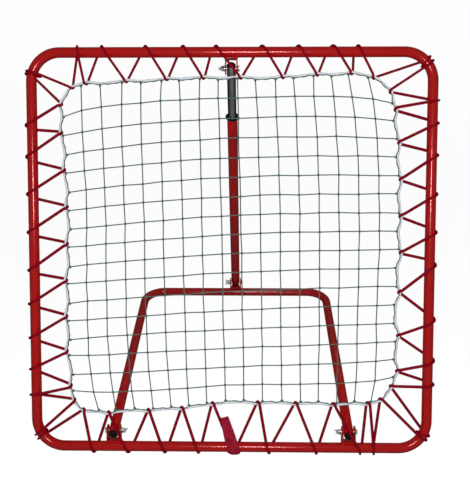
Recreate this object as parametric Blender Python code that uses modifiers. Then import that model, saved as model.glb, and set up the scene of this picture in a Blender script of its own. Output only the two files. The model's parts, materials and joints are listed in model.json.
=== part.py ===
"""Rebound net: a square steel frame with a laced net, leaning on a folding stand.

Metres, +Z up. The net faces -Y and the stand reaches back towards +Y. The origin is
on the floor, in the middle of the whole object's outline.
"""
import math

import bmesh
import bpy
import numpy as np
from mathutils import Matrix, Vector

# Clearances
GAP = 0.0003
FLOOR_FACET = math.radians(15)

# Square frame of bent round tube
FRAME_SIZE = 1.000
TUBE_OD = 0.0254
TUBE_WALL = 0.0015
CORNER_RADIUS = 0.070
LEAN = math.radians(27.3)
DRAIN_HOLE = 0.005
DRAIN_X = 0.120

# Folding stand, a U of the same tube
LEG_LENGTH = 0.674
LEG_SPACING = 0.590
LEG_BEND_RADIUS = 0.062
LEG_END = 0.013
CAP_FLANGE = 0.002
CAP_DEPTH = 0.012
CAP_INSET = 0.0005
CAP_FIT = 0.00045
CAP_TO_BOLT = 0.0012

# Hinge brackets, bent from plate
PLATE = 0.003
EAR_RADIUS = 0.015
PIVOT_RISE = 0.0375
PIVOT_BACK = 0.009
EAR_DROP = 0.0065
EAR_PAST_TUBE = 0.0076
WEB_SEAT = 0.0005
LEG_SIDE_CLEARANCE = 0.00115
STRUT_SIDE_CLEARANCE = 0.0012

# Telescoping strut
INNER_OD = 0.022
INNER_WALL = 0.0015
INNER_OVERLAP = 0.260
INNER_END = 0.0095
OUTER_OD = 0.027
OUTER_WALL = 0.0012
MOUTH_FROM_PIVOT = 0.151
OUTER_END = 0.010
FOOT_PLAY = 0.0026
FOOT_PLAY_FORWARD = 0.0021
FOOT_PLAY_UP = 0.0011
COLLAR_OD = 0.036
COLLAR_FLANGE = 0.0028
COLLAR_DEPTH = 0.020

# Bolts, washers and wing nuts
BOLT_D = 0.008
HEAD_ACROSS_FLATS = 0.013
HEAD_HEIGHT = 0.0053
WASHER_OD = 0.016
WASHER_THICKNESS = 0.0016
WING_SPAN = 0.030
WING_HEIGHT = 0.0145
WING_THICKNESS = 0.0028
HUB_BASE_D = 0.0145
HUB_TOP_D = 0.0115
HUB_HEIGHT = 0.0085
BOLT_PROUD = 0.003

# Half outline of the wings: the foot and the crotch are shares of the hub's base
# diameter and the wings' height, the edge between them of the span and the height
WING_FOOT = (0.55, 0.083)
WING_EDGE = [(0.30, 0.124), (0.45, 0.42), (0.50, 0.72), (0.475, 0.93), (0.41, 1.0), (0.34, 0.88)]
WING_CROTCH = (0.62, 0.50)

# Locking screw at the strut's mouth
LOCK_FROM_MOUTH = 0.042
LOCK_D = 0.006
LOCK_NUT_FLATS = 0.012
LOCK_NUT_HEIGHT = 0.007
LOCK_WING_SPAN = 0.026
LOCK_STEM = 0.006
LOCK_HUB_TOP_D = 0.0092

# Net, its border rope and the elastic cord
TWINE_D = 0.0022
ROPE_D = 0.0055
CORD_D = 0.0065
ROPE_TENSION = 1.0
STRING_TENSION = 0.15
WRAP_ANGLES = (75, 25, -25, -75)
WRAP_STEP = 0.0048
WRAP_CLEARANCE = 0.00036
NET_CLEARANCE = 0.00075
CORD_PASS = 0.0011
HOOK_REACH = 0.0094
HOOK_START = 0.0020
HOOK_MOUTH = 0.0040
HOOK_TIP = 0.0016
KNOT_D = 0.014
KNOT_SEAT = 0.0016
KNOT_LEAD_ANGLES = (165, 120)
KNOT_WRAP_GAP = 0.0013
KNOT_WRAP_STEP = 0.0011

# Fabric tie where the cord's loop is fastened at the middle of the bottom tube
TIE_THICKNESS = 0.0018

# Flats on round pieces
TUBE_SIDES = 16
BOLT_SIDES = 12
SADDLE_SIDES = 24
HEXAGON = 6
BEND_STEPS = 6
EAR_STEPS = 8
SHARP_EDGE = 40
WELD = 0.00001
MM = 0.001

TUBE_R = TUBE_OD / 2
HALF_WIDTH = (FRAME_SIZE - TUBE_OD) / 2
TOP_S = FRAME_SIZE - TUBE_OD
CORD_R = CORD_D / 2
ROPE_R = ROPE_D / 2
WRAP_HALF_STEP = math.radians(25)
WRAP_RADIUS = (TUBE_R + CORD_R + WRAP_CLEARANCE) / math.cos(WRAP_HALF_STEP)
NET_INSET = ROPE_R + TWINE_D / 2 + NET_CLEARANCE

# The cord's route, in millimetres across and up the frame's plane. It runs clockwise
# as seen from the front: from each apex on the border rope it passes behind the tube,
# comes over the outer edge at a wrap, and crosses the front to the next apex.
TOP_APEXES = [(-390, 894), (-354, 905), (-256, 910), (-157, 915), (-68, 918),
              (23, 918), (125, 919), (208, 925), (291, 928), (346, 917)]
RIGHT_APEXES = [(389, 882), (403, 838), (413, 758), (418, 669), (419, 579),
                (421, 490), (419, 392), (418, 284), (417, 195), (402, 155)]
BOTTOM_APEXES = [(375, 120), (342, 109), (256, 106), (162, 108), (68, 109),
                 (-45, 106), (-122, 94), (-206, 88), (-306, 81), (-371, 88)]
LEFT_APEXES = [(-397, 115), (-406, 153), (-415, 240), (-415, 328), (-414, 418),
               (-411, 509), (-410, 600), (-415, 690), (-421, 781), (-420, 851)]
TOP_WRAPS = [-374, -315, -209, -118, -38, 73, 161, 244, 305]
RIGHT_WRAPS = [859, 805, 728, 634, 541, 461, 326, 224, 163]
BOTTOM_WRAPS = [357, 324, 215, 97, 5, -80, -164, -256, -343]
LEFT_WRAPS = [130, 194, 273, 358, 442, 536, 630, 721, 798]
CORNER_WRAP_ANGLES = {"top_left": 165, "top_right": 40, "bottom_right": -30, "bottom_left": 214}

# Corners of the net, and where its strings reach the rope, side by side: across along
# the top and the bottom, up along the right and the left
NET_CORNERS = [(-407, 878), (369, 904), (390, 136), (-386, 99)]
TOP_STRINGS = [-367, -319, -267, -220, -171, -126, -77, -31, 15, 59, 106, 151, 198, 242, 282, 331]
RIGHT_STRINGS = [853, 810, 768, 723, 678, 634, 587, 542, 499, 452, 408, 360, 316, 269, 226, 179]
BOTTOM_STRINGS = [350, 308, 265, 218, 174, 128, 80, 32, -13, -60, -105, -149, -194, -240, -287, -331]
LEFT_STRINGS = [139, 182, 228, 269, 316, 361, 409, 452, 499, 544, 590, 635, 682, 726, 772, 819]

NET_STRINGS = len(TOP_STRINGS)

# Fabric tie: across, up and out from the tube's axis, then width, all in millimetres
TIE_ROUTE = [(-15.5, 80, -14.5, 17.5), (-11, 62, -17.2, 19), (-5.5, 43, -20.3, 22), (0, 24, -22.8, 26),
             (5, 8, -23.6, 28.5), (8, -4, -22.6, 28.5), (7.5, -15, -16.5, 20)]

RED_PAINT = ((0.33, 0.006, 0.007), 0.32, 0.0)
BLACK_TUBE = ((0.012, 0.012, 0.013), 0.38, 0.4)
ZINC = ((0.42, 0.42, 0.43), 0.35, 0.9)
BLACK_PLASTIC = ((0.012, 0.012, 0.012), 0.5, 0.0)
TWINE_GREEN = ((0.020, 0.110, 0.075), 0.85, 0.0)
ROPE_WHITE = ((0.55, 0.60, 0.63), 0.85, 0.0)
CORD_CRIMSON = ((0.26, 0.006, 0.022), 0.7, 0.0)
TIE_CRIMSON = ((0.28, 0.010, 0.028), 0.95, 0.0)


def clear_scene():
    for old in list(bpy.data.objects):
        bpy.data.objects.remove(old, do_unlink=True)


def new_collection(name):
    collection = bpy.data.collections.new(name)
    bpy.context.scene.collection.children.link(collection)
    return collection


def new_material(name, finish):
    color, roughness, metallic = finish
    material = bpy.data.materials.new(name)
    material.use_nodes = True
    shader = material.node_tree.nodes["Principled BSDF"]
    shader.inputs["Base Color"].default_value = (*color, 1.0)
    shader.inputs["Roughness"].default_value = roughness
    shader.inputs["Metallic"].default_value = metallic
    material.diffuse_color = (*color, 1.0)
    return material


clear_scene()
PARTS = new_collection("rebound_net")
CUTTERS = new_collection("rebound_net_cutters")
MATERIALS = {
    "red_paint": new_material("red_paint", RED_PAINT),
    "black_tube": new_material("black_tube", BLACK_TUBE),
    "zinc": new_material("zinc", ZINC),
    "black_plastic": new_material("black_plastic", BLACK_PLASTIC),
    "twine_green": new_material("twine_green", TWINE_GREEN),
    "rope_white": new_material("rope_white", ROPE_WHITE),
    "cord_crimson": new_material("cord_crimson", CORD_CRIMSON),
    "tie_crimson": new_material("tie_crimson", TIE_CRIMSON),
}


def empty(name, location, tilt=0.0, parent=None):
    """Add an empty whose local axes are turned about X by the given tilt."""
    marker = bpy.data.objects.new(name, None)
    marker.location = location
    marker.rotation_euler = (tilt, 0, 0)
    marker.parent = parent
    marker.empty_display_size = 0.02
    PARTS.objects.link(marker)
    return marker


def add_object(name, data, material, parent=None, location=(0, 0, 0), turn=(0, 0, 0)):
    piece = bpy.data.objects.new(name, data)
    piece.location = location
    piece.rotation_euler = turn
    piece.parent = parent
    data.materials.clear()
    data.materials.append(MATERIALS[material])
    PARTS.objects.link(piece)
    return piece


def add_cutter(name, mesh, parent=None, location=(0, 0, 0), turn=(0, 0, 0)):
    cutter = bpy.data.objects.new(name, mesh)
    cutter.location = location
    cutter.rotation_euler = turn
    cutter.parent = parent
    cutter.hide_render = True
    cutter.display_type = "WIRE"
    CUTTERS.objects.link(cutter)
    return cutter


def cut(piece, cutter, operation="DIFFERENCE"):
    step = piece.modifiers.new(cutter.name, "BOOLEAN")
    step.operation = operation
    step.solver = "EXACT"
    step.object = cutter
    return step


def smooth(mesh):
    mesh.shade_smooth()
    mesh.set_sharp_from_angle(angle=math.radians(SHARP_EDGE))


def mesh_from_bmesh(name, shape):
    bmesh.ops.recalc_face_normals(shape, faces=shape.faces)
    mesh = bpy.data.meshes.new(name)
    shape.to_mesh(mesh)
    shape.free()
    smooth(mesh)
    return mesh


def cylinder_mesh(name, radius, low, high, sides=TUBE_SIDES, axis="Z", top_radius=None):
    """A cylinder or cone frustum along one axis, from low to high."""
    shape = bmesh.new()
    top = radius if top_radius is None else top_radius
    bmesh.ops.create_cone(shape, cap_ends=True, segments=sides, radius1=radius,
                          radius2=top, depth=high - low)
    bmesh.ops.translate(shape, verts=shape.verts, vec=(0, 0, (high + low) / 2))
    if axis == "X":
        bmesh.ops.rotate(shape, verts=shape.verts, matrix=Matrix.Rotation(math.pi / 2, 3, "Y"))
    if axis == "Y":
        bmesh.ops.rotate(shape, verts=shape.verts, matrix=Matrix.Rotation(-math.pi / 2, 3, "X"))
    return mesh_from_bmesh(name, shape)


def box_mesh(name, low, high):
    shape = bmesh.new()
    bmesh.ops.create_cube(shape, size=1.0)
    size = [h - l for l, h in zip(low, high)]
    middle = [(h + l) / 2 for l, h in zip(low, high)]
    bmesh.ops.scale(shape, verts=shape.verts, vec=size)
    bmesh.ops.translate(shape, verts=shape.verts, vec=middle)
    return mesh_from_bmesh(name, shape)


def tube_curve(name, points, radius, resolution, cyclic=False, tilts=None):
    """A polyline curve with a round bevel: 6 sides at resolution 1, 12 at 4."""
    curve = bpy.data.curves.new(name, "CURVE")
    curve.dimensions = "3D"
    curve.bevel_depth = radius
    curve.bevel_resolution = resolution
    curve.render_resolution_u = 0
    curve.use_fill_caps = True
    spline = curve.splines.new("POLY")
    spline.points.add(len(points) - 1)
    for index, point in enumerate(points):
        spline.points[index].co = (*point, 1.0)
        if tilts:
            spline.points[index].tilt = tilts[index]
    spline.use_cyclic_u = cyclic
    spline.use_smooth = True
    return curve


def curve_to_mesh(name, curve):
    """Turn a bevelled curve into one closed mesh, with its caps welded."""
    holder = bpy.data.objects.new(name, curve)
    CUTTERS.objects.link(holder)
    bpy.context.view_layer.update()
    evaluated = holder.evaluated_get(bpy.context.evaluated_depsgraph_get())
    mesh = bpy.data.meshes.new_from_object(evaluated)
    bpy.data.objects.remove(holder, do_unlink=True)
    shape = bmesh.new()
    shape.from_mesh(mesh)
    bmesh.ops.remove_doubles(shape, verts=shape.verts, dist=WELD)
    bmesh.ops.recalc_face_normals(shape, faces=shape.faces)
    shape.to_mesh(mesh)
    shape.free()
    mesh.name = name
    smooth(mesh)
    return mesh


def plate_mesh(name, outline, thickness):
    """A flat outline in the YZ plane, extruded evenly to both sides along X."""
    curve = bpy.data.curves.new(name, "CURVE")
    curve.dimensions = "2D"
    curve.fill_mode = "BOTH"
    curve.extrude = thickness / 2
    curve.render_resolution_u = 0
    spline = curve.splines.new("POLY")
    spline.points.add(len(outline) - 1)
    for index, (across, up) in enumerate(outline):
        spline.points[index].co = (across, up, 0, 1)
    spline.use_cyclic_u = True
    mesh = curve_to_mesh(name, curve)
    turn = Matrix(((0, 0, 1, 0), (1, 0, 0, 0), (0, 1, 0, 0), (0, 0, 0, 1)))
    mesh.transform(turn)
    return mesh


def turned_object(name, profile, closed, material, parent, location, turn, sides=TUBE_SIDES):
    """A turned piece about local Z: the profile runs down its outer side."""
    mesh = bpy.data.meshes.new(name)
    edges = [(i, i + 1) for i in range(len(profile) - 1)]
    if closed:
        edges.append((len(profile) - 1, 0))
    mesh.from_pydata([(r, 0, z) for r, z in profile], edges, [])
    piece = add_object(name, mesh, material, parent, location, turn)
    screw = piece.modifiers.new("Turn", "SCREW")
    screw.axis = "Z"
    screw.steps = sides
    screw.render_steps = sides
    screw.use_merge_vertices = True
    screw.merge_threshold = WELD
    screw.use_smooth_shade = False
    return piece


def arc(center, radius, start, end, steps):
    """Points of an arc in a plane, angles in degrees."""
    points = []
    for index in range(steps + 1):
        angle = math.radians(start + (end - start) * index / steps)
        points.append((center[0] + radius * math.cos(angle), center[1] + radius * math.sin(angle)))
    return points


# Places that everything else is set from

def unit(angle):
    """Direction in the YZ plane, measured from +Y towards +Z."""
    return Vector((0, math.cos(angle), math.sin(angle)))


def front_reach():
    """How far the wraps and the tie stand out in front of the bottom tube's axis."""
    front_angle = math.pi / 2 - LEAN - math.radians(WRAP_ANGLES[0])
    reach = [WRAP_RADIUS * math.cos(front_angle) + CORD_R]
    for _, up, back, _ in TIE_ROUTE:
        reach.append(TIE_THICKNESS / 2 - MM * (back * math.cos(LEAN) + up * math.sin(LEAN)))
    return max(reach)


FRAME_UP = unit(math.pi / 2 - LEAN)
FRAME_BACK = unit(-LEAN)
LOWEST_WRAP = WRAP_RADIUS * math.cos(LEAN - WRAP_HALF_STEP) + CORD_R
CROSSBAR_Z = TUBE_R * math.cos(FLOOR_FACET)
PIVOT_OFFSET = FRAME_UP * PIVOT_RISE + FRAME_BACK * PIVOT_BACK
TOP_PIVOT_OFFSET = FRAME_UP * (TOP_S - PIVOT_RISE) + FRAME_BACK * PIVOT_BACK
LEG_SLOPE = math.asin((LOWEST_WRAP + PIVOT_OFFSET.z - CROSSBAR_Z) / LEG_LENGTH)
STAND_UP = unit(math.pi / 2 - LEG_SLOPE)
CROSSBAR_OFFSET = PIVOT_OFFSET + unit(-LEG_SLOPE) * LEG_LENGTH
STRUT = TOP_PIVOT_OFFSET - CROSSBAR_OFFSET - STAND_UP * PIVOT_RISE
STRUT_LENGTH = STRUT.length
STRUT_TILT = math.atan2(-STRUT.y, STRUT.z)
STRUT_END_REACH = OUTER_END * math.sin(STRUT_TILT) + OUTER_OD / 2 * math.cos(STRUT_TILT)
BACK_REACH = CROSSBAR_OFFSET.y + STAND_UP.y * PIVOT_RISE + STRUT_END_REACH
BOTTOM_TUBE = Vector((0, (front_reach() - BACK_REACH) / 2, LOWEST_WRAP))
TILT_PIVOT = BOTTOM_TUBE + PIVOT_OFFSET
TOP_PIVOT = BOTTOM_TUBE + TOP_PIVOT_OFFSET
CROSSBAR = BOTTOM_TUBE + CROSSBAR_OFFSET
FOOT_PIVOT = CROSSBAR + STAND_UP * PIVOT_RISE

TILT_AXIS = empty("frame_tilt_axis", TILT_PIVOT, -LEAN)
FRAME_PLANE = empty("frame_plane", (0, -PIVOT_BACK, -PIVOT_RISE), 0, TILT_AXIS)
STAND_AXIS = empty("stand_axis", TILT_PIVOT, -LEG_SLOPE)
STRUT_AXIS = empty("strut_axis", TOP_PIVOT, STRUT_TILT)


def in_plane(across, up, back=0.0):
    """A place in the frame's plane, as local coordinates of FRAME_PLANE."""
    return Vector((across, back, up))


# Square frame

def frame_outline():
    """Centreline of the bent tube, as a closed rounded square in the frame's plane."""
    inner = HALF_WIDTH - CORNER_RADIUS
    centers = [(inner, TOP_S - CORNER_RADIUS), (-inner, TOP_S - CORNER_RADIUS),
               (-inner, CORNER_RADIUS), (inner, CORNER_RADIUS)]
    points = []
    for quarter, center in enumerate(centers):
        points += arc(center, CORNER_RADIUS, 90 * quarter, 90 * quarter + 90, BEND_STEPS)
    return [in_plane(x, s) for x, s in points]


def make_frame_ring():
    outline = frame_outline()
    mesh = curve_to_mesh("frame_ring", tube_curve("frame_ring", outline, TUBE_R, 4, True))
    ring = add_object("frame_ring", mesh, "red_paint", FRAME_PLANE)
    bore = tube_curve("frame_bore", outline, TUBE_R - TUBE_WALL, 4, True)
    cut(ring, add_cutter("frame_bore", curve_to_mesh("frame_bore", bore), FRAME_PLANE))
    drain = cylinder_mesh("frame_drain", DRAIN_HOLE / 2, -TUBE_OD, -TUBE_R / 2, BOLT_SIDES)
    cut(ring, add_cutter("frame_drain", drain, FRAME_PLANE, (DRAIN_X, 0, 0)))
    return ring


# Stand

def leg_outline():
    """Centreline of the U tube in the stand's plane, from the left end to the right."""
    half = LEG_SPACING / 2
    left = (-half + LEG_BEND_RADIUS, LEG_LENGTH - LEG_BEND_RADIUS)
    right = (half - LEG_BEND_RADIUS, LEG_LENGTH - LEG_BEND_RADIUS)
    points = [(-half, -LEG_END)]
    points += arc(left, LEG_BEND_RADIUS, 180, 90, BEND_STEPS)
    points += arc(right, LEG_BEND_RADIUS, 90, 0, BEND_STEPS)
    points.append((half, -LEG_END))
    return points


def make_leg_frame():
    """The facets are turned on the crossbar, so that one lies flat on the floor."""
    outline = leg_outline()
    count = len(outline)
    twist = [FLOOR_FACET] * count
    for index in range(1, count - 1):
        share = min(index - 1, count - 2 - index, BEND_STEPS) / BEND_STEPS
        twist[index] = FLOOR_FACET + LEG_SLOPE * share
    points = [Vector((x, y, 0)) for x, y in outline]
    mesh = curve_to_mesh("leg_frame", tube_curve("leg_frame", points, TUBE_R, 4, False, twist))
    legs = add_object("leg_frame", mesh, "red_paint", STAND_AXIS)
    longer = [points[0] - Vector((0, TUBE_OD, 0))] + points[1:-1]
    longer.append(points[-1] - Vector((0, TUBE_OD, 0)))
    bore = tube_curve("leg_bore", longer, TUBE_R - TUBE_WALL, 4, False, twist)
    cut(legs, add_cutter("leg_bore", curve_to_mesh("leg_bore", bore), STAND_AXIS))
    for side, x in (("left", -LEG_SPACING / 2), ("right", LEG_SPACING / 2)):
        hole = cylinder_mesh("leg_hole_" + side, BOLT_D / 2 + GAP, -TUBE_OD, TUBE_OD, BOLT_SIDES, "X")
        cut(legs, add_cutter("leg_hole_" + side, hole, STAND_AXIS, (x, 0, 0)))
        make_cap("leg_cap_" + side, TUBE_OD, TUBE_WALL, STAND_AXIS, (x, -LEG_END, 0),
                 (math.pi / 2, 0, 0), LEG_END - BOLT_D / 2 - CAP_TO_BOLT)
    return legs


def make_cap(name, tube_od, wall, parent, location, turn, room):
    """A plastic end plug: a thin flange outside and a spigot in the bore."""
    depth = min(CAP_DEPTH, room)
    flange = tube_od / 2 - CAP_INSET
    spigot = tube_od / 2 - wall - CAP_FIT
    profile = [(0, CAP_FLANGE), (flange - CAP_INSET, CAP_FLANGE), (flange, CAP_FLANGE - CAP_INSET),
               (flange, GAP), (spigot, GAP), (spigot, -depth), (0, -depth)]
    return turned_object(name, profile, False, "black_plastic", parent, location, turn, BOLT_SIDES)


# Brackets

def bracket_outline(tube_offset):
    """Side view of a bracket about its pivot: round ear, straight flanks, open foot."""
    foot = -(PIVOT_RISE - TUBE_R + EAR_DROP)
    outline = arc((0, 0), EAR_RADIUS, 0, 180, EAR_STEPS)
    outline.append((min(-EAR_RADIUS, tube_offset - EAR_PAST_TUBE), foot))
    outline.append((EAR_RADIUS, foot))
    return outline


def make_bracket(name, inside, parent, location, tube_offset, turn=(0, 0, 0)):
    """A bent channel: two ears and a web, with the ears' feet saddled on the tube."""
    mesh = plate_mesh(name, bracket_outline(tube_offset), inside + 2 * PLATE)
    bracket = add_object(name, mesh, "red_paint", parent, location, turn)
    web_low = -(PIVOT_RISE - TUBE_R) - WEB_SEAT
    reach = 2 * EAR_RADIUS
    slot = box_mesh(name + "_slot", (-inside / 2, -reach, web_low + PLATE), (inside / 2, reach, reach))
    under = box_mesh(name + "_under", (-inside / 2, -reach, -2 * reach), (inside / 2, reach, web_low))
    saddle = cylinder_mesh(name + "_saddle", TUBE_R + GAP, -inside, inside, SADDLE_SIDES, "X")
    hole = cylinder_mesh(name + "_hole", BOLT_D / 2 + GAP, -inside, inside, BOLT_SIDES, "X")
    cut(bracket, add_cutter(name + "_slot", slot, bracket))
    cut(bracket, add_cutter(name + "_under", under, bracket))
    cut(bracket, add_cutter(name + "_saddle", saddle, bracket, (0, tube_offset, -PIVOT_RISE)))
    cut(bracket, add_cutter(name + "_hole", hole, bracket))
    return bracket


LEG_BRACKET_INSIDE = TUBE_OD + 2 * LEG_SIDE_CLEARANCE
TOP_BRACKET_INSIDE = INNER_OD + 2 * STRUT_SIDE_CLEARANCE
FOOT_BRACKET_INSIDE = OUTER_OD + 2 * STRUT_SIDE_CLEARANCE
FRAME_PIVOT_HIGH = (0, PIVOT_BACK, TOP_S - PIVOT_RISE)


def make_brackets():
    for side, x in (("left", -LEG_SPACING / 2), ("right", LEG_SPACING / 2)):
        place = (x, PIVOT_BACK, PIVOT_RISE)
        make_bracket("hinge_bracket_" + side, LEG_BRACKET_INSIDE, FRAME_PLANE, place, -PIVOT_BACK)
    make_bracket("top_bracket", TOP_BRACKET_INSIDE, FRAME_PLANE, FRAME_PIVOT_HIGH,
                 -PIVOT_BACK, (0, math.pi, 0))
    make_bracket("foot_bracket", FOOT_BRACKET_INSIDE, STAND_AXIS, (0, LEG_LENGTH, PIVOT_RISE), 0)


# Fasteners, each along local X with the wing nut on the +X side

def make_bolt(name, inside, parent, location, turn):
    grip = inside / 2 + PLATE + GAP
    far = grip + WASHER_THICKNESS + GAP + HUB_HEIGHT + BOLT_PROUD
    head_r = HEAD_ACROSS_FLATS / 2 / math.cos(math.pi / 6)
    head = cylinder_mesh(name, head_r, -grip - HEAD_HEIGHT, -grip, HEXAGON, "X")
    bolt = add_object(name, head, "zinc", parent, location, turn)
    shank = cylinder_mesh(name + "_shank", BOLT_D / 2, -grip - HEAD_HEIGHT / 2, far, BOLT_SIDES, "X")
    cut(bolt, add_cutter(name + "_shank", shank, bolt), "UNION")
    return bolt


def make_washer(name, inside, parent, location, turn):
    base = inside / 2 + PLATE + GAP
    bore = BOLT_D / 2 + GAP
    rim = WASHER_OD / 2
    profile = [(bore, WASHER_THICKNESS), (rim, WASHER_THICKNESS), (rim, 0), (bore, 0)]
    mount = empty(name + "_seat", location, 0, parent)
    mount.rotation_euler = turn
    return turned_object(name, profile, True, "zinc", mount, (base, 0, 0), (0, math.pi / 2, 0),
                         BOLT_SIDES)


def wing_outline(span, height, root):
    """Two wings in one outline about the hub, in the plane that holds the hub's axis."""
    half = [(root * WING_FOOT[0], height * WING_FOOT[1])]
    half += [(span * across, height * up) for across, up in WING_EDGE]
    half.append((root * WING_CROTCH[0], height * WING_CROTCH[1]))
    return half + [(-across, up) for across, up in reversed(half)]


def wings_object(name, base_d, top_d, hub_height, span, height, material, parent, location, turn):
    """Hub and wings joined, standing on local X = 0."""
    hub = cylinder_mesh(name, base_d / 2, 0, hub_height, BOLT_SIDES, "X", top_d / 2)
    piece = add_object(name, hub, material, parent, location, turn)
    wings = plate_mesh(name + "_wings", wing_outline(span, height, base_d), WING_THICKNESS)
    wings.transform(Matrix(((0, 0, 1, 0), (0, 1, 0, 0), (-1, 0, 0, 0), (0, 0, 0, 1))))
    cut(piece, add_cutter(name + "_wings", wings, piece), "UNION")
    return piece


def make_wing_nut(name, inside, parent, location, turn):
    base = inside / 2 + PLATE + GAP + WASHER_THICKNESS + GAP
    axis = empty(name + "_axis", location, 0, parent)
    axis.rotation_euler = turn
    nut = wings_object(name, HUB_BASE_D, HUB_TOP_D, HUB_HEIGHT, WING_SPAN, WING_HEIGHT,
                       "zinc", axis, (base, 0, 0), (0, 0, 0))
    bore = cylinder_mesh(name + "_bore", BOLT_D / 2 + GAP, -HUB_HEIGHT, 2 * HUB_HEIGHT, BOLT_SIDES, "X")
    cut(nut, add_cutter(name + "_bore", bore, nut))
    return nut


def make_fasteners():
    """Wing nuts face the middle on the leg hinges and the left on the strut."""
    half = LEG_SPACING / 2
    flip = (0, 0, math.pi)
    places = [("hinge_left", LEG_BRACKET_INSIDE, FRAME_PLANE, (-half, PIVOT_BACK, PIVOT_RISE), (0, 0, 0)),
              ("hinge_right", LEG_BRACKET_INSIDE, FRAME_PLANE, (half, PIVOT_BACK, PIVOT_RISE), flip),
              ("top", TOP_BRACKET_INSIDE, FRAME_PLANE, FRAME_PIVOT_HIGH, flip),
              ("foot", FOOT_BRACKET_INSIDE, STAND_AXIS, (0, LEG_LENGTH, PIVOT_RISE), flip)]
    for label, inside, parent, place, turn in places:
        make_bolt(label + "_bolt", inside, parent, place, turn)
        make_washer(label + "_washer", inside, parent, place, turn)
        make_wing_nut(label + "_wing_nut", inside, parent, place, turn)


# Strut, along local Z of its axis, with the top pivot at zero

def pipe_object(name, radius, wall, low, high, material):
    pipe = add_object(name, cylinder_mesh(name, radius, low, high), material, STRUT_AXIS)
    bore = cylinder_mesh(name + "_bore", radius - wall, low - wall, high + wall)
    cut(pipe, add_cutter(name + "_bore", bore, STRUT_AXIS))
    return pipe


def make_strut():
    inner_low = -(MOUTH_FROM_PIVOT + INNER_OVERLAP)
    inner = pipe_object("strut_inner_tube", INNER_OD / 2, INNER_WALL, inner_low, INNER_END, "black_tube")
    hole = cylinder_mesh("inner_hole", BOLT_D / 2 + GAP, -INNER_OD, INNER_OD, BOLT_SIDES, "X")
    cut(inner, add_cutter("inner_hole", hole, STRUT_AXIS))
    make_cap("strut_top_plug", INNER_OD, INNER_WALL, STRUT_AXIS, (0, 0, INNER_END), (0, 0, 0),
             INNER_END - BOLT_D / 2 - CAP_TO_BOLT)

    outer_low = -(STRUT_LENGTH + OUTER_END)
    outer = pipe_object("strut_outer_tube", OUTER_OD / 2, OUTER_WALL, outer_low,
                        -MOUTH_FROM_PIVOT, "red_paint")
    slack_r = BOLT_D / 2 + GAP + FOOT_PLAY
    slack = cylinder_mesh("foot_hole", slack_r, -OUTER_OD, OUTER_OD, TUBE_SIDES, "X")
    place = (0, -FOOT_PLAY_FORWARD, FOOT_PLAY_UP - STRUT_LENGTH)
    cut(outer, add_cutter("foot_hole", slack, STRUT_AXIS, place))

    spigot = OUTER_OD / 2 - OUTER_WALL - GAP
    bore = INNER_OD / 2 + GAP
    rim = COLLAR_OD / 2
    profile = [(bore, COLLAR_FLANGE), (rim - CAP_INSET, COLLAR_FLANGE),
               (rim, COLLAR_FLANGE - CAP_INSET), (rim, GAP), (spigot, GAP),
               (spigot, -COLLAR_DEPTH), (bore, -COLLAR_DEPTH)]
    turned_object("strut_collar", profile, True, "black_plastic", STRUT_AXIS,
                  (0, 0, -MOUTH_FROM_PIVOT), (0, 0, 0))
    make_lock(outer)


def make_lock(outer):
    """A nut welded on the back of the outer tube, and the wing screw in it."""
    height = -(MOUTH_FROM_PIVOT + LOCK_FROM_MOUTH)
    face = OUTER_OD / 2
    hole = cylinder_mesh("lock_hole", LOCK_D / 2 + GAP, 0, OUTER_OD, BOLT_SIDES, "Y")
    cut(outer, add_cutter("lock_hole", hole, STRUT_AXIS, (0, 0, height)))
    nut_r = LOCK_NUT_FLATS / 2 / math.cos(math.pi / 6)
    low = face - LOCK_NUT_HEIGHT / 2
    nut_mesh = cylinder_mesh("lock_nut", nut_r, low, face + LOCK_NUT_HEIGHT, HEXAGON, "Y")
    nut = add_object("lock_nut", nut_mesh, "red_paint", STRUT_AXIS, (0, 0, height))
    saddle = cylinder_mesh("lock_saddle", face + GAP, -LOCK_NUT_FLATS, LOCK_NUT_FLATS, 2 * TUBE_SIDES)
    cut(nut, add_cutter("lock_saddle", saddle, STRUT_AXIS, (0, 0, height)))
    thread = cylinder_mesh("lock_thread", LOCK_D / 2 + GAP, 0, 2 * OUTER_OD, BOLT_SIDES, "Y")
    cut(nut, add_cutter("lock_thread", thread, STRUT_AXIS, (0, 0, height)))

    tip = INNER_OD / 2 + GAP
    hub_at = face + LOCK_NUT_HEIGHT + LOCK_STEM
    axis = empty("lock_screw_axis", (0, 0, height), 0, STRUT_AXIS)
    axis.rotation_euler = (0, 0, math.pi / 2)
    screw = wings_object("lock_screw", HUB_TOP_D, LOCK_HUB_TOP_D, HUB_HEIGHT, LOCK_WING_SPAN,
                         WING_HEIGHT, "zinc", axis, (hub_at, 0, 0), (math.pi / 2, 0, 0))
    stem = cylinder_mesh("lock_stem", LOCK_D / 2, tip - hub_at, HUB_HEIGHT / 2, BOLT_SIDES, "X")
    cut(screw, add_cutter("lock_stem", stem, screw), "UNION")


# Net: where each string and the border rope lie under tension

def along(points, target, axis):
    """Point on a polyline where one coordinate passes the target value."""
    for (x0, s0), (x1, s1) in zip(points, points[1:]):
        a, b = (x0, x1) if axis == 0 else (s0, s1)
        if min(a, b) <= target <= max(a, b) and a != b:
            share = (target - a) / (b - a)
            return (x0 + (x1 - x0) * share, s0 + (s1 - s0) * share)
    return points[0] if abs(target - points[0][axis]) < abs(target - points[-1][axis]) else points[-1]


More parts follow.
